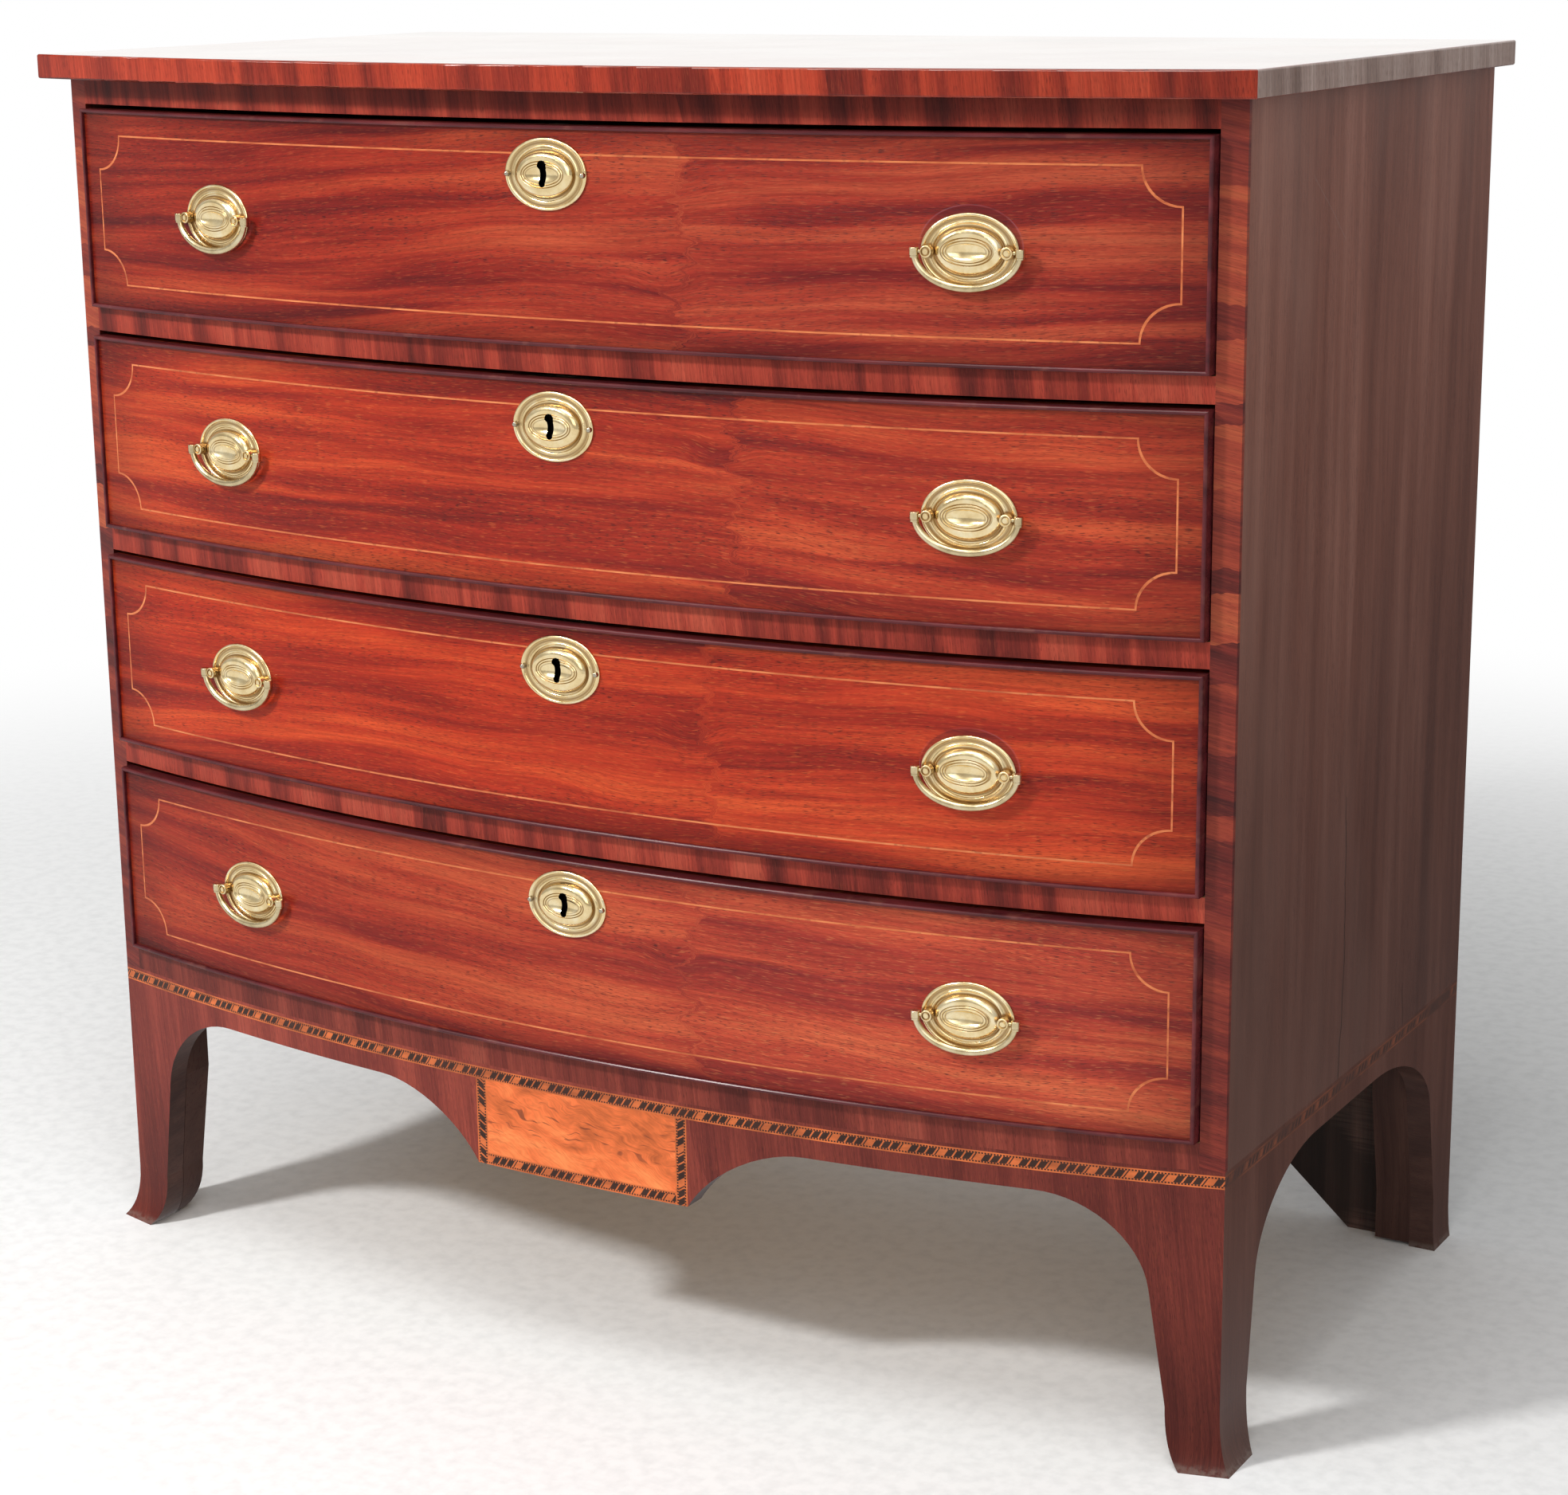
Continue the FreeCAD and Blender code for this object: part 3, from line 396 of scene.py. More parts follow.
def drawer_veneer(number):
    """Ribbon figured mahogany in two leaves that meet right of the keyhole, on a pine ground."""
    low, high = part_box(f"drawer_{number}_front")
    middle = (low.z + high.z) / 2
    graph = Surface(f"drawer_{number}_mahogany")
    x, _, z = graph.split(graph.place)
    grain, figure = drawer_figure(graph, number, x, z, middle)
    colour, height = fine_grain(graph, grain, graph.ramp(figure, DRAWER_TONES))
    ends = graph.fade(graph.size(x), high.x - 0.080, high.x, 1.0, 0.66)
    rows = graph.less((high.z - low.z) / 2, graph.size(graph.less(z, middle)))
    edge = graph.times(ends, graph.fade(rows, 0.0, 0.026, 0.66, 1.0))
    # Tone across the drawer, partly its own and partly painted sheen, strongest on the right.
    level = graph.mix(graph.fade(x, -0.20, 0.30), LEFT_LEVELS[number], RIGHT_TONE_AND_SHEEN[number])
    colour = graph.mix(1.0, graph.shade(colour, edge), level, "MULTIPLY")
    if number in GHOSTS:
        colour = pull_ghost(graph, colour, grain, x, z, middle)
    inside, _ = board_colour(graph, X, Z, PINE_TONES)
    facing = graph.split(graph.facing)[Y]
    colour = graph.mix(graph.fade(facing, 0.4, 0.6), colour, inside)
    # Painted shade: the walls of the keyhole are painted nearly black.
    hole = graph.times(graph.fade(graph.size(x), 0.0042, 0.0048, 1.0, 0.0),
                       graph.near(z, high.z - KEY_DROP, KEY_REACH))
    hole = graph.times(graph.above(hole, 0.1), graph.fade(graph.size(facing), 0.3, 0.5, 1.0, 0.0))
    colour = graph.mix(hole, colour, KEYHOLE_SHADE)
    graph.bump(height, distance=0.00010, strength=0.5)
    gloss = graph.fade(graph.noise(graph.place, (12, 12, 20)), 0.3, 0.7, 0.28, 0.40)
    return graph.finish(colour, gloss, specular=0.14, coat=0.03)


def faced_rail(name, tones, patches, contrast):
    """Crossbanded veneer on the front of a rail, with painted shadow right under the top, and pine behind."""
    graph = Surface(name)
    x, _, z = graph.split(graph.place)
    colour, height = cross_colour(graph, x, z, tones, patches, 2.0, contrast)
    # Painted shadow: the upper part of the rail, right under the top, is darkened.
    colour = graph.shade(colour, graph.fade(z, low=0.958, high=0.970, start=1.0, end=0.55))
    inside, _ = board_colour(graph, X, Y, PINE_TONES)
    ahead = graph.fade(graph.split(graph.facing)[Y], -0.6, -0.4, 1.0, 0.0)
    graph.bump(height, distance=0.0001, strength=0.4)
    return graph.finish(graph.mix(ahead, inside, colour), roughness=0.36, specular=0.14)


# Height at which each patch of the corner strips starts, and its tone.
STILE_PATCHES = (
    (0.200, 0.42), (0.331, 0.50), (0.430, 0.34), (0.470, 0.55), (0.490, 0.24), (0.533, 0.56), (0.583, 0.28),
    (0.611, 0.95), (0.647, 0.22), (0.664, 0.62), (0.718, 0.86), (0.758, 0.34), (0.774, 0.88), (0.818, 0.42),
    (0.843, 0.84), (0.919, 0.50),
)


def stile_veneer():
    """Corner strips in cross grained patches."""
    graph = Surface("stile_mahogany")
    x, _, z = graph.split(graph.place)
    ragged = graph.times(graph.less(graph.noise(graph.place, (60, 60, 20)), 0.5), 0.012)
    greys = [(spot, (tone, tone, tone)) for spot, tone in STILE_PATCHES]
    patch = graph.ramp(graph.add(z, ragged), greys, steps=True)
    grain = graph.join(x, graph.add(z, graph.times(x, 0.25)), 5.0)
    wide = graph.fade(graph.noise(grain, (4.0, 60.0, 1.0), distortion=0.4), 0.32, 0.68)
    narrow = graph.noise(grain, (8.0, 240.0, 1.0), detail=3.0, roughness=0.6)
    figure = graph.add(graph.times(wide, 0.16), graph.times(narrow, 0.30))
    figure = graph.add(figure, graph.times(graph.split(patch)[0], 0.46))
    colour = graph.ramp(figure, STILE_TONES)
    colour, height = fine_grain(graph, grain, colour, pore_share=0.5, fleck_share=0.10)
    graph.bump(height, distance=0.0001, strength=0.4)
    return graph.finish(colour, roughness=0.36, specular=0.20)


def top_veneer():
    """Long grained top with crossbanded edges, painted shade towards the right of the front edge, pale grey
    side edges that are partly painted sheen, and plain at the back.
    """
    graph = Surface("top_mahogany")
    x, y, z = graph.split(graph.place)
    face, height = board_colour(graph, X, Y, TOP_TONES, broad=(1.2, 11.0), pores=0.6, flecks=0.15)
    facing = graph.split(graph.facing)
    front, _ = cross_colour(graph, x, z, TOP_EDGE_TONES, 14.0, 7.0, 0.54)
    # Painted shade: the front edge darkens towards the right.
    front = graph.shade(front, graph.fade(x, low=0.05, high=0.52, start=1.0, end=0.78))
    # Painted sheen: the side edges get pale grey tones.
    aside, _ = cross_colour(graph, y, z, SIDE_EDGE_SHEEN_TONES, 9.0, 8.0, 0.6)
    edge = graph.mix(graph.fade(graph.size(facing[X]), 0.7, 0.8), front, aside)
    flat = graph.fade(graph.size(facing[Z]), 0.5, 0.7)
    plain = graph.most(flat, graph.fade(facing[Y], 0.5, 0.7))
    colour = graph.mix(plain, edge, face)
    graph.bump(height, distance=0.00003, strength=0.3)
    gloss = graph.fade(graph.noise(graph.place, (7, 7, 7), detail=3.0), 0.3, 0.7, 0.10, 0.20)
    return graph.finish(colour, gloss, specular=0.16, coat=flat, coat_roughness=0.06)


SCUFFED = (0.240, 0.190, 0.165)


def wear_toe(graph, colour, z):
    """Pale scuffed line round the bottom of a foot."""
    rough = graph.noise(graph.place, (160, 160, 160), detail=3.0, roughness=0.6)
    toe = graph.fade(z, low=0.002, high=0.007, start=1.0, end=0.0)
    share = graph.times(toe, graph.fade(rough, 0.35, 0.6))
    return graph.mix(graph.times(share, 0.35), colour, SCUFFED)


def apron_veneer():
    """Plum veneer that darkens down the feet, with painted shade towards the right, and bare dark wood
    inside.
    """
    graph = Surface("apron_mahogany")
    x, _, z = graph.split(graph.place)
    colour, height = cross_colour(graph, x, z, APRON_TONES, 13.0, 9.0, 0.34)
    # Darker down the feet, with painted shade towards the right.
    darker_feet_and_right_shade = graph.times(graph.fade(z, low=0.01, high=0.17, start=0.56, end=1.10),
                       graph.fade(x, low=-0.50, high=0.50, start=1.22, end=0.76))
    colour = graph.shade(colour, darker_feet_and_right_shade)
    inside, _ = board_colour(graph, X, Z, FOOT_TONES)
    ahead = graph.fade(graph.split(graph.facing)[Y], -0.30, -0.15, 1.0, 0.0)
    colour = wear_toe(graph, graph.mix(ahead, inside, colour), z)
    graph.bump(height, distance=0.0001, strength=0.4)
    return graph.finish(colour, roughness=0.42, specular=0.16)


# Marks on the right side, as points over (Y, Z).
CRACK = ((0.0118, 0.4532), (0.0188, 0.3135), (0.0112, 0.2229))
SHORT_CRACK = ((0.1523, 0.2642), (0.1561, 0.2268))
SCRATCH = ((-0.0893, 0.9195), (-0.0240, 0.8704))
CRACK_WIDTH, SHORT_CRACK_WIDTH, SCRATCH_WIDTH = 0.0011, 0.0008, 0.0007
CRACK_DARK = (0.006, 0.003, 0.003)
SCRATCH_PALE = (0.300, 0.240, 0.220)
FADED_SIDE = (0.180, 0.094, 0.073)


def drawn_line(graph, y, z, points, width):
    """Line from point to point over (Y, Z), wandering a little."""
    wander = graph.times(graph.less(graph.noise(graph.place, (60, 60, 60)), 0.5), 0.006)
    result = 0.0
    for (y0, z0), (y1, z1) in zip(points, points[1:]):
        slope = (y1 - y0) / (z1 - z0)
        line = graph.add(graph.times(graph.less(z, z0), slope), y0)
        off = graph.add(graph.less(y, line), wander)
        bottom, top = min(z0, z1), max(z0, z1)
        within = graph.times(graph.above(z, bottom), graph.less(1.0, graph.above(z, top)))
        result = graph.most(result, graph.times(graph.near(off, 0.0, width), within))
    return result


def side_wood(name, marked):
    """Faded upright boards with painted light growing towards the top, and the cracks and the scratch of the
    right side.
    """
    graph = Surface(name)
    _, y, z = graph.split(graph.place)
    colour, height = board_colour(graph, Z, Y, SIDE_TONES, broad=(1.1, 13.0), pores=0.45)
    worn = graph.noise(graph.place, (3, 5, 2), detail=3.0, roughness=0.6)
    colour = graph.mix(graph.fade(worn, 0.40, 0.70, 0.0, 0.45), colour, FADED_SIDE)
    # Painted light: the side grows lighter towards the top.
    colour = graph.shade(colour, graph.fade(z, low=0.25, high=0.97, start=0.96, end=1.90))
    if marked:
        split = graph.most(drawn_line(graph, y, z, CRACK, CRACK_WIDTH),
                           drawn_line(graph, y, z, SHORT_CRACK, SHORT_CRACK_WIDTH))
        colour = graph.mix(graph.times(split, 0.9), colour, CRACK_DARK)
        pale = drawn_line(graph, y, z, SCRATCH, SCRATCH_WIDTH)
        colour = graph.mix(graph.times(pale, 0.5), colour, SCRATCH_PALE)
        height = graph.less(height, graph.times(split, 6.0))
    graph.bump(height, distance=0.00012, strength=0.5)
    gloss = graph.fade(graph.noise(graph.place, (6, 9, 3), detail=3.0), 0.3, 0.7, 0.30, 0.44)
    return graph.finish(colour, gloss, specular=0.30)


def side_apron_wood():
    """Side boards of the feet, darker towards the floor, bare dark wood inside."""
    graph = Surface("side_apron_mahogany")
    x, _, z = graph.split(graph.place)
    colour, height = board_colour(graph, Z, Y, SIDE_TONES, broad=(1.1, 13.0), pores=0.35)
    colour = graph.shade(colour, graph.fade(z, low=0.02, high=0.20, start=0.70, end=1.0))
    inside, _ = board_colour(graph, Y, Z, FOOT_TONES)
    outward = graph.less(graph.times(graph.split(graph.facing)[X], graph.math("SIGN", x)), 0.0)
    colour = graph.mix(graph.fade(outward, 0.2, 0.4), inside, colour)
    graph.bump(height, distance=0.0001, strength=0.4)
    return graph.finish(wear_toe(graph, colour, z), roughness=0.42, specular=0.26)


def plain_wood(name, tones, along, across, roughness=0.6, specular=0.2, saw=0.0):
    """Unpolished board, with saw marks across it where asked."""
    graph = Surface(name)
    colour, height = board_colour(graph, along, across, tones)
    if saw:
        spots = graph.split(graph.place)
        flat = graph.join(spots[along], spots[across], 0.0)
        marks = graph.noise(flat, (420.0, 14.0, 1.0), roughness=0.6)
        patchy = graph.fade(graph.noise(graph.place, (8, 8, 8)), 0.4, 0.6)
        colour = graph.shade(colour, graph.fade(graph.times(marks, patchy), 0.2, 0.6, 1.0, 1.0 + saw))
        height = graph.add(height, graph.times(marks, 2.0))
    graph.bump(height, distance=0.00018, strength=0.6)
    return graph.finish(colour, roughness, specular)


BAND_WIDTH = 0.010
BAND_PALE = (0.600, 0.145, 0.040)
BAND_DARK = (0.040, 0.016, 0.010)
BAND_DIRT = (0.10, 0.03, 0.02)
BAND_SIDE_DARK = (0.080, 0.032, 0.023)
TEETH_PER_METRE = 430.0
TOOTH_GAP = 0.38
GROUPS_PER_METRE = 36.0
BLOCKS_PER_GROUP = 4.1
BLOCK_GAP = 0.20
GROUP_MIDDLE = 0.41
BLOCK_SLANT = 0.0032


def banding():
    """Pale edge lines, rows of teeth, and slanted blocks in groups with pale lozenges between."""
    panel_low, panel_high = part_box("apron_panel")
    graph = Surface("band_inlay")
    x, y, z = graph.split(graph.place)
    aside = graph.above(graph.size(graph.split(graph.facing)[X]), 0.6)
    upper = graph.above(z, panel_high.z)
    upright = graph.times(graph.less(1.0, upper), graph.above(graph.size(x), panel_high.x))
    run = graph.add(graph.times(x, graph.less(1.0, upright)), graph.times(z, upright))
    run = graph.add(graph.times(run, graph.less(1.0, aside)), graph.times(y, aside))
    from_upper = graph.less(z, panel_high.z)
    from_foot = graph.less(z, panel_low.z - BAND_WIDTH)
    from_panel = graph.less(graph.size(x), panel_high.x)
    level = graph.add(graph.times(from_upper, upper), graph.times(from_foot, graph.less(1.0, upper)))
    level = graph.add(graph.times(level, graph.less(1.0, upright)), graph.times(from_panel, upright))
    side = graph.less(graph.times(level, 2.0 / BAND_WIDTH), 1.0)
    off = graph.size(side)
    line = graph.fade(off, 0.77, 0.82)
    teeth = graph.times(graph.fade(off, 0.52, 0.56), graph.less(1.0, line))
    tooth = graph.above(graph.math("FRACT", graph.times(run, TEETH_PER_METRE)), TOOTH_GAP)
    slant = graph.less(run, graph.times(side, BLOCK_SLANT))
    phase = graph.math("FRACT", graph.times(slant, GROUPS_PER_METRE))
    block = graph.above(graph.math("FRACT", graph.times(phase, BLOCKS_PER_GROUP)), BLOCK_GAP)
    group = graph.fade(graph.size(graph.less(phase, GROUP_MIDDLE)), 0.400, 0.420, 1.0, 0.0)
    dark = graph.times(graph.times(group, block), graph.less(1.0, teeth))
    dark = graph.times(graph.most(dark, graph.times(teeth, tooth)), graph.less(1.0, line))
    colour = graph.mix(dark, BAND_PALE, BAND_DARK)
    stain = graph.noise(graph.place, (45, 45, 120), detail=3.0, roughness=0.6)
    colour = graph.shade(colour, graph.fade(stain, 0.3, 0.7, 0.68, 1.15))
    grime = graph.fade(graph.noise(graph.place, (14, 14, 14)), 0.45, 0.62)
    # On the sides the banding is made much darker.
    side_darkened = graph.mix(graph.fade(grime, 0.0, 1.0, 0.72, 0.95), colour, BAND_SIDE_DARK)
    colour = graph.mix(aside, graph.mix(graph.times(grime, 0.22), colour, BAND_DIRT), side_darkened)
    graph.bump(stain, distance=0.00006, strength=0.4)
    return graph.finish(colour, roughness=0.40, specular=0.24)


PANEL_CRACK = (0.150, 0.040, 0.018)


def flame_panel():
    """Flame figured panel: slanting brown clouds above, short dark cracks across the middle, bright below."""
    low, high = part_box("apron_panel")
    middle = (low.z + high.z) / 2
    graph = Surface("flame_birch")
    x, _, z = graph.split(graph.place)
    curl = graph.less(graph.noise(graph.place, (26, 1, 40), distortion=0.6), 0.5)
    slope = graph.add(z, graph.times(x, 0.45))
    bent = graph.add(slope, graph.times(curl, 0.030))
    wisp = graph.noise(graph.join(x, bent, 4.0), (30, 80, 1), detail=3.0, roughness=0.6, distortion=0.7)
    cloud = graph.noise(graph.join(x, z, 9.0), (26, 44, 1), detail=3.0, roughness=0.55, distortion=0.9)
    figure = graph.add(graph.times(wisp, 0.42), graph.times(cloud, 0.58))
    figure = graph.less(figure, graph.times(graph.near(z, middle + 0.008, 0.022), 0.06))
    figure = graph.add(figure, graph.fade(z, low.z, high.z, 0.09, -0.01))
    figure = graph.add(figure, graph.fade(x, low.x, high.x, 0.04, -0.03))
    colour = graph.ramp(figure, PANEL_TONES)
    wave = graph.add(graph.add(z, graph.times(x, 0.12)), graph.times(curl, 0.020))
    streaks = graph.noise(graph.join(x, wave, 1.0), (42, 360, 1), distortion=0.4)
    streaks = graph.fade(streaks, 0.60, 0.68)
    streaks = graph.times(streaks, graph.near(z, middle + 0.004, 0.034))
    colour = graph.mix(graph.times(streaks, 0.80), colour, PANEL_CRACK)
    fibre = graph.noise(graph.join(x, bent, 2.0), (120, 700, 1))
    colour = graph.shade(colour, graph.fade(fibre, 0.3, 0.7, 0.88, 1.10))
    graph.bump(fibre, distance=0.00005, strength=0.4)
    return graph.finish(colour, roughness=0.36, specular=0.20)


WORN_BEAD = (0.170, 0.050, 0.040)


def bead_wood():
    """Dark polished beads, a little worn along the nose."""
    graph = Surface("bead_mahogany")
    x, y, z = graph.split(graph.place)
    tone = graph.noise(graph.join(x, z, y), (14, 60, 60), detail=3.0, roughness=0.6)
    colour = graph.ramp(tone, BEAD_TONES)
    worn = graph.fade(graph.noise(graph.place, (35, 35, 35), detail=3.0, roughness=0.65), 0.56, 0.70)
    colour = graph.mix(graph.times(worn, 0.5), colour, WORN_BEAD)
    graph.bump(tone, distance=0.00006, strength=0.3)
    return graph.finish(colour, roughness=0.27, specular=0.28)


LINE_BREAK = (0.280, 0.070, 0.030)


def boxwood_line():
    """Thin pale inlay, stained here and there."""
    graph = Surface("boxwood")
    tone = graph.noise(graph.place, (30, 30, 90), detail=3.0, roughness=0.6)
    colour = graph.ramp(tone, BOXWOOD_TONES)
    breaks = graph.fade(graph.noise(graph.place, (120, 120, 120)), 0.60, 0.68)
    colour = graph.mix(graph.times(breaks, 0.6), colour, LINE_BREAK)
    return graph.finish(colour, roughness=0.38, specular=0.26)


GOLD = (
    (0.32, (0.760, 0.570, 0.290)),
    (0.50, (0.880, 0.700, 0.390)),
    (0.68, (0.940, 0.810, 0.530)),
)
BAIL_GOLD = (
    (0.32, (0.500, 0.395, 0.220)),
    (0.50, (0.660, 0.535, 0.320)),
    (0.68, (0.790, 0.680, 0.450)),
)
IRON_TONES = (
    (0.35, (0.060, 0.048, 0.040)),
    (0.55, (0.140, 0.120, 0.100)),
    (0.70, (0.220, 0.120, 0.060)),
)
AMBER = (0.265, 0.125, 0.030)
NAIL_GREY = (0.360, 0.345, 0.300)
NAIL_X = 0.0324
POST_SPREAD = 0.0285
# Heads of the posts stand out square to the bowed front, so they lie a little farther out.
HEAD_SHIFT = 0.0014
# Halves of the ovals of a plate: its rim, its dome, the two grooves of the dome and the dish in it.
RIM = (0.035, 0.026)
DOME = (0.0246, 0.0166)
OUTER_GROOVE = (0.0180, 0.0094)
INNER_GROOVE = (0.0161, 0.0075)
DISH = (0.0140, 0.0058)


def brass(name, smooth, rough, heads):
    """Rubbed brass with old polish left in the hollows of the plates, or in the rings of the posts, and
    painted shade on the plates round the foot of each post.
    """
    lowest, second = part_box("drawer_4_front"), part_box("drawer_3_front")
    bottom = lowest[0].z
    pitch = second[0].z - bottom
    height = lowest[1].z - bottom
    pull_z = height / 2
    key_z = height - KEY_DROP
    graph = Surface(name)
    x, _, z = graph.split(graph.place)
    pull = graph.above(graph.size(x), 0.2)
    dx = graph.less(graph.size(x), graph.times(pull, PULL_X))
    from_bottom = graph.math("MODULO", graph.less(z, bottom), pitch)
    dz = graph.less(from_bottom, graph.add(graph.times(pull, pull_z - key_z), key_z))

    def oval(half_length, half_height):
        return graph.length(graph.times(dx, 1 / half_length), graph.times(dz, 1 / half_height))

    if heads:
        head = graph.length(graph.less(graph.size(graph.less(dx, HEAD_SHIFT)), POST_SPREAD), dz)
        hollows_and_post_shade = graph.most(graph.near(head, 0.0026, 0.0009), graph.fade(head, 0.0040, 0.0046, 0.0, 0.8))
    else:
        post = graph.length(graph.less(graph.size(dx), POST_SPREAD), dz)
        rim, dome = oval(*RIM), oval(*DOME)
        hollows_and_post_shade = graph.most(
            graph.times(graph.near(rim, 0.86, 0.080), 0.85),
            graph.near(dome, 1.03, 0.08),
            graph.near(oval(*OUTER_GROOVE), 1.0, 0.045),
            graph.near(oval(*INNER_GROOVE), 1.0, 0.045),
            graph.times(graph.near(oval(*DISH), 1.0, 0.07), 0.6),
            # Painted shade: the plate is darkened round the foot of each post.
            graph.times(graph.fade(post, 0.0045, 0.0066, 1.0, 0.0), graph.times(pull, 0.95)),
        )
    cloud = graph.noise(graph.place, (70, 70, 70), detail=3.0, roughness=0.6)
    scuff = graph.noise(graph.place, (500, 500, 1400))
    patchy = graph.fade(cloud, 0.3, 0.7, 0.80, 1.0)
    colour = graph.mix(graph.times(hollows_and_post_shade, patchy), graph.ramp(cloud, GOLD), AMBER)
    nail = graph.length(graph.less(graph.size(x), NAIL_X), dz)
    colour = graph.mix(graph.fade(nail, 0.0020, 0.0024, 0.8, 0.0), colour, NAIL_GREY)
    # Painted shade: the walls of the keyhole are painted nearly black.
    wall = graph.fade(graph.size(graph.split(graph.facing)[Y]), 0.2, 0.4, 1.0, 0.0)
    hole = graph.times(graph.less(1.0, graph.above(graph.size(x), 0.0050)), wall)
    colour = graph.mix(hole, colour, KEYHOLE_SHADE)
    gloss = graph.add(graph.fade(cloud, 0.25, 0.75, smooth, rough), graph.times(hollows_and_post_shade, 0.16))
    graph.bump(scuff, distance=0.00002, strength=0.25)
    return graph.finish(colour, gloss, specular=0.5, metallic=1.0)


def plain_brass():
    """Worn brass without hollows."""
    graph = Surface("bail_brass")
    cloud = graph.noise(graph.place, (70, 70, 70), detail=3.0, roughness=0.6)
    scuff = graph.noise(graph.place, (500, 500, 1400))
    graph.bump(scuff, distance=0.00002, strength=0.25)
    colour = graph.ramp(cloud, BAIL_GOLD)
    gloss = graph.fade(cloud, 0.25, 0.75, 0.18, 0.32)
    return graph.finish(colour, gloss, specular=0.5, metallic=1.0)


def iron():
    """Dull iron with a little rust."""
    graph = Surface("lock_iron")
    cloud = graph.noise(graph.place, (120, 120, 120), detail=4.0, roughness=0.65)
    colour = graph.ramp(cloud, IRON_TONES)
    graph.bump(cloud, distance=0.0002, strength=0.4)
    gloss = graph.fade(cloud, 0.3, 0.7, 0.42, 0.65)
    return graph.finish(colour, gloss, specular=0.5, metallic=0.9)


dress(top_veneer(), "top_board")
dress(side_wood("right_side_mahogany", marked=True), "right_side")
dress(side_wood("left_side_mahogany", marked=False), "left_side")
dress(stile_veneer(), "corner_stiles")
dress(faced_rail("rail_mahogany", RAIL_TONES, patches=17.0, contrast=0.64), "top_rails", "drawer_dividers")
dress(faced_rail("bottom_mahogany", APRON_TONES, patches=13.0, contrast=0.50), "bottom_board")
dress(plain_wood("runner_pine", PINE_TONES, Y, X), "drawer_runners", "drawer_stops")
dress(plain_wood("back_pine", OLD_PINE_TONES, X, Z, roughness=0.7, specular=0.15, saw=0.18), "backboards")
dress(plain_wood("stained_pine", STAINED_TONES, Z, X, saw=1.4), "rear_brackets")
dress(plain_wood("block_pine", FOOT_TONES, Z, X), "glue_blocks")
dress(apron_veneer(), "front_apron")
dress(side_apron_wood(), "side_aprons")
dress(flame_panel(), "apron_panel")
dress(banding(), "inlay_banding")
beads = bead_wood()
box_pine = plain_wood("drawer_pine", PINE_TONES, Y, Z)
base_pine = plain_wood("drawer_bottom_pine", PINE_TONES, X, Y, roughness=0.65)
boxwood = boxwood_line()
lock_iron = iron()
plate_brass = brass("plate_brass", smooth=0.13, rough=0.26, heads=False)
post_brass = brass("post_brass", smooth=0.24, rough=0.34, heads=True)
bail_brass = plain_brass()
for number in DRAWERS:
    drawer = f"drawer_{number}_"
    dress(drawer_veneer(number), drawer + "front")
    dress(beads, drawer + "cockbead")
    dress(box_pine, drawer + "box")
    dress(base_pine, drawer + "bottom")
    dress(boxwood, drawer + "stringing")
    dress(lock_iron, drawer + "lock")
    dress(plate_brass, drawer + "plates")
    dress(post_brass, drawer + "posts")
    dress(bail_brass, drawer + "lock_bolt", drawer + "bail_left", drawer + "bail_right")

FLOOR_HALF = 60.0
FLOOR_TONES = ((0.30, (0.85, 0.875, 0.90)), (0.60, (0.94, 0.965, 0.99)))
WORLD_COLOUR = (1.0, 0.99, 0.97, 1.0)
LAMP_COLOUR = (1.0, 0.97, 0.93)


def light_paths(graph):
    """What the camera sees directly or through glass, and what a reflection sees."""
    path = graph.new("ShaderNodeLightPath")
    seen = graph.most(path.outputs["Is Camera Ray"], path.outputs["Is Transmission Ray"])
    return seen, path.outputs["Is Glossy Ray"]


def make_stage():
    """Pale floor that fades to white far from the chest, and mirrors darker behind it."""
    corners = [(x * FLOOR_HALF, y * FLOOR_HALF, 0) for x, y in ((-1, -1), (1, -1), (1, 1), (-1, 1))]
    mesh = bpy.data.meshes.new("floor")
    mesh.from_pydata(corners, [], [(0, 1, 2, 3)])
    floor = bpy.data.objects.new("floor", mesh)
    scene.collection.objects.link(floor)
    graph = Surface("floor_stone")
    speck = graph.noise(graph.place, (70, 70, 70), detail=3.0, roughness=0.6)
    graph.finish(graph.ramp(speck, FLOOR_TONES), roughness=0.6, specular=0.2)
    x, y, _ = graph.split(graph.place)
    seen, mirrored = light_paths(graph)
    share = graph.most(graph.times(graph.fade(graph.length(x, y), 1.0, 2.6), seen), mirrored)
    glow = graph.new("ShaderNodeEmission")
    graph.put(glow.inputs["Strength"], graph.most(seen, graph.fade(y, -0.6, 0.4, 0.95, 0.14)))
    both = graph.new("ShaderNodeMixShader")
    graph.put(both.inputs[0], share)
    graph.put(both.inputs[1], graph.shader.outputs[0])
    graph.put(both.inputs[2], glow.outputs[0])
    graph.put(graph.output.inputs[0], both.outputs[0])
    mesh.materials.append(graph.material)


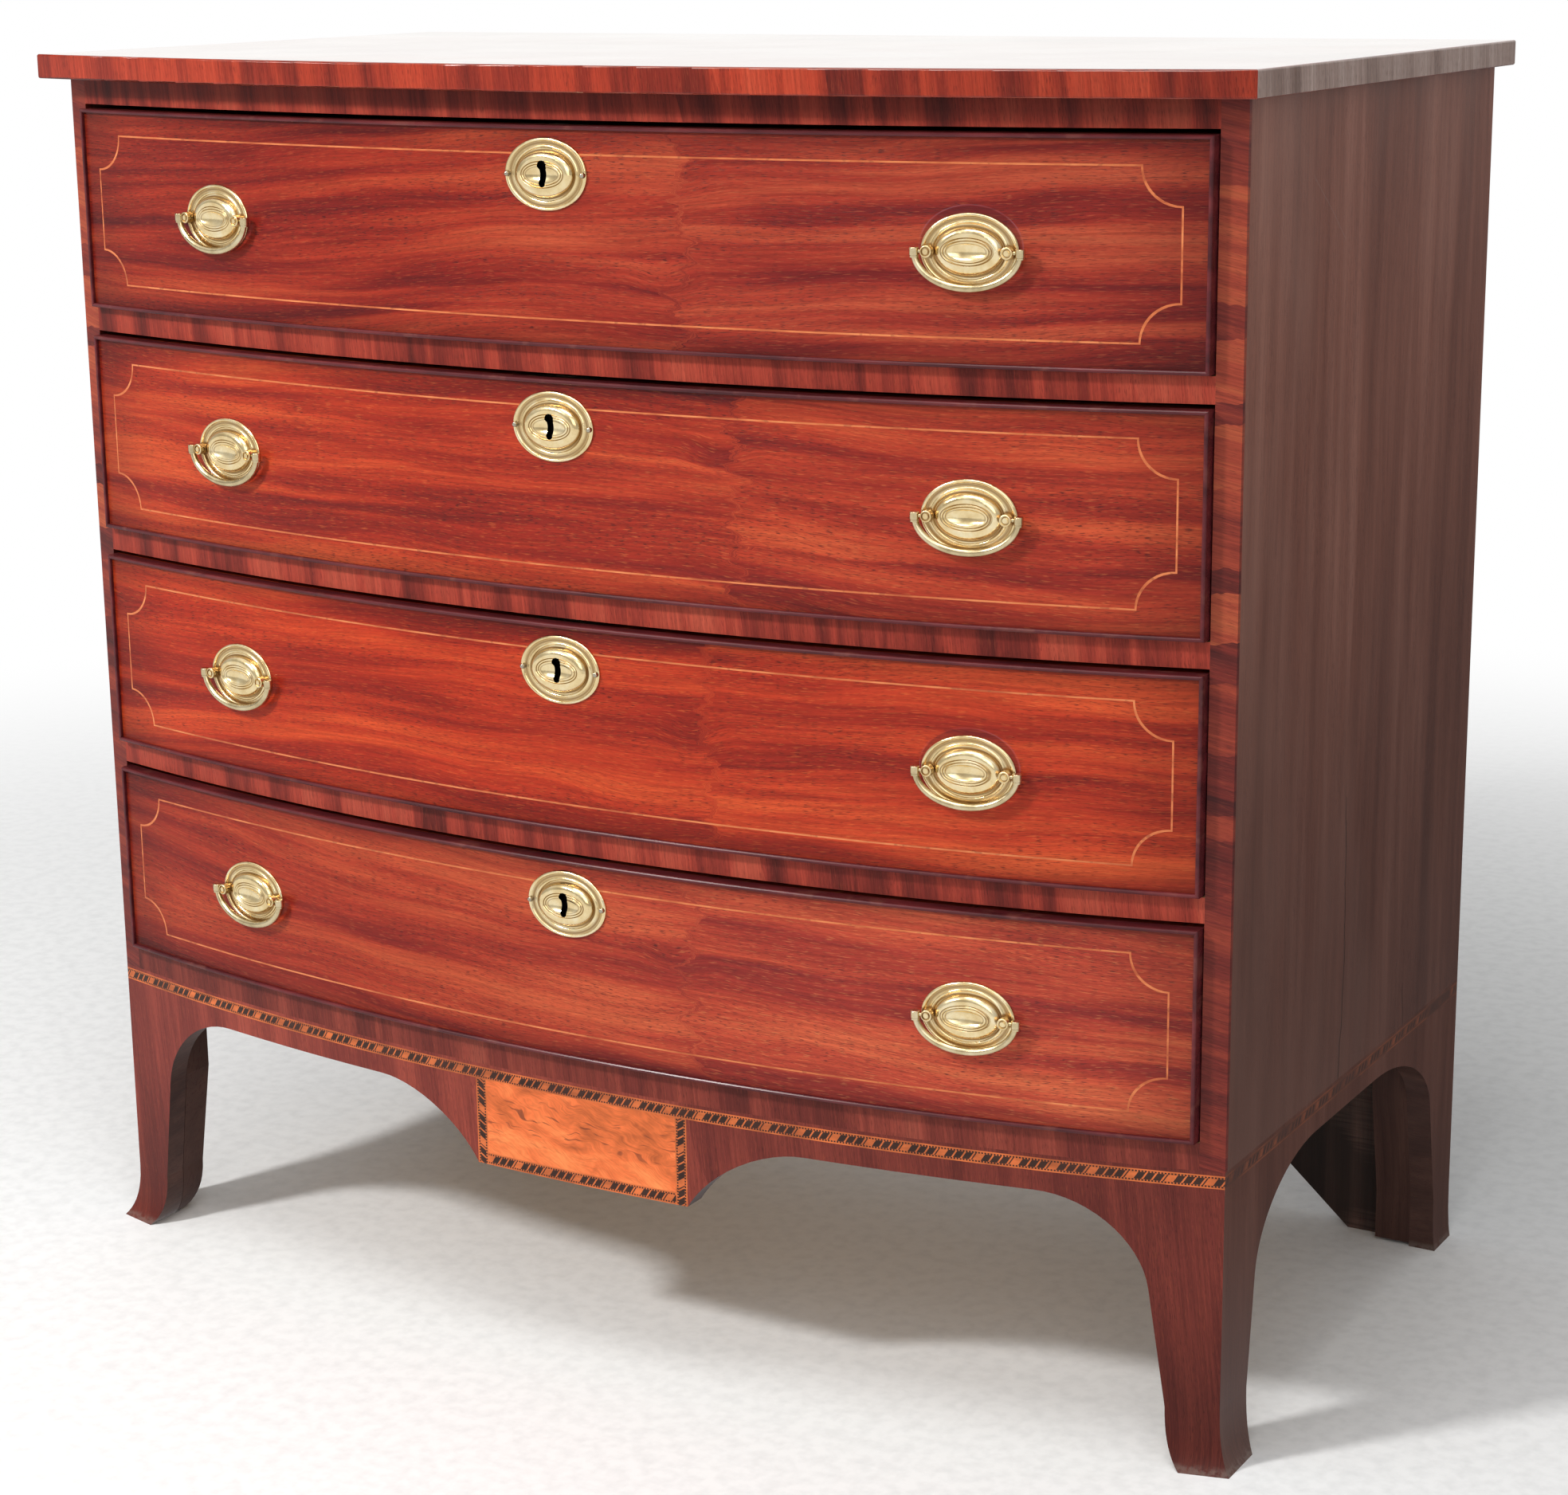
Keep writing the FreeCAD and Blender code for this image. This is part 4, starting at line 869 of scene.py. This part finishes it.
def make_world(level, dim):
    """Even light on the object, plain white behind it and overhead, a dimmer room in front of it."""
    world = bpy.data.worlds.new("studio")
    scene.world = world
    world.use_nodes = True
    graph = Graph(world.node_tree)
    _, y, z = graph.split(graph.direction)
    room = graph.most(graph.fade(y, 0.1, 0.5, dim, 1.0), graph.fade(z, 0.25, 0.9, dim, 1.0))
    seen, mirrored = light_paths(graph)
    strength = graph.most(seen, graph.times(mirrored, room), graph.times(graph.less(1.0, mirrored), level))
    back = graph.new("ShaderNodeBackground")
    back.inputs["Color"].default_value = WORLD_COLOUR
    graph.put(back.inputs["Strength"], strength)
    output = graph.new("ShaderNodeOutputWorld")
    graph.put(output.inputs[0], back.outputs[0])


def lamp(name, place, aim, size, power):
    """Square lamp at a place, turned to what it lights."""
    data = bpy.data.lights.new(name, "AREA")
    data.size = size
    data.energy = power
    data.color = LAMP_COLOUR
    light = bpy.data.objects.new(name, data)
    light.location = place
    light.rotation_euler = (Vector(aim) - Vector(place)).to_track_quat("-Z", "Y").to_euler()
    scene.collection.objects.link(light)


def make_camera():
    """Camera fitted to the edges of the chest in the photo."""
    place = Vector((1.33373, -2.22890, 1.09177))
    yaw, pitch, roll = 0.530, -0.248, -0.012
    focal_pixels, image_width = 4086.345, 1968
    ahead = Vector((-math.sin(yaw) * math.cos(pitch), math.cos(yaw) * math.cos(pitch), math.sin(pitch)))
    level_right = Vector((math.cos(yaw), math.sin(yaw), 0.0))
    level_up = level_right.cross(ahead)
    right = level_right * math.cos(roll) + level_up * math.sin(roll)
    up = level_up * math.cos(roll) - level_right * math.sin(roll)
    data = bpy.data.cameras.new("camera")
    data.sensor_width = 36.0
    data.sensor_fit = "HORIZONTAL"
    data.lens = focal_pixels / image_width * data.sensor_width
    camera = bpy.data.objects.new("camera", data)
    camera.matrix_world = Matrix.Translation(place) @ Matrix((right, up, -ahead)).transposed().to_4x4()
    scene.collection.objects.link(camera)
    scene.camera = camera


make_stage()
make_world(level=0.36, dim=0.50)
lamp("key", place=(-1.5, -2.6, 2.7), aim=(0.0, 0.0, 0.5), size=0.4, power=89.0)
lamp("fill", place=(1.6, -2.8, 2.2), aim=(0.0, 0.0, 0.5), size=2.0, power=22.0)
lamp("top", place=(0.2, -0.9, 3.0), aim=(0.0, 0.0, 0.6), size=1.2, power=25.0)
make_camera()
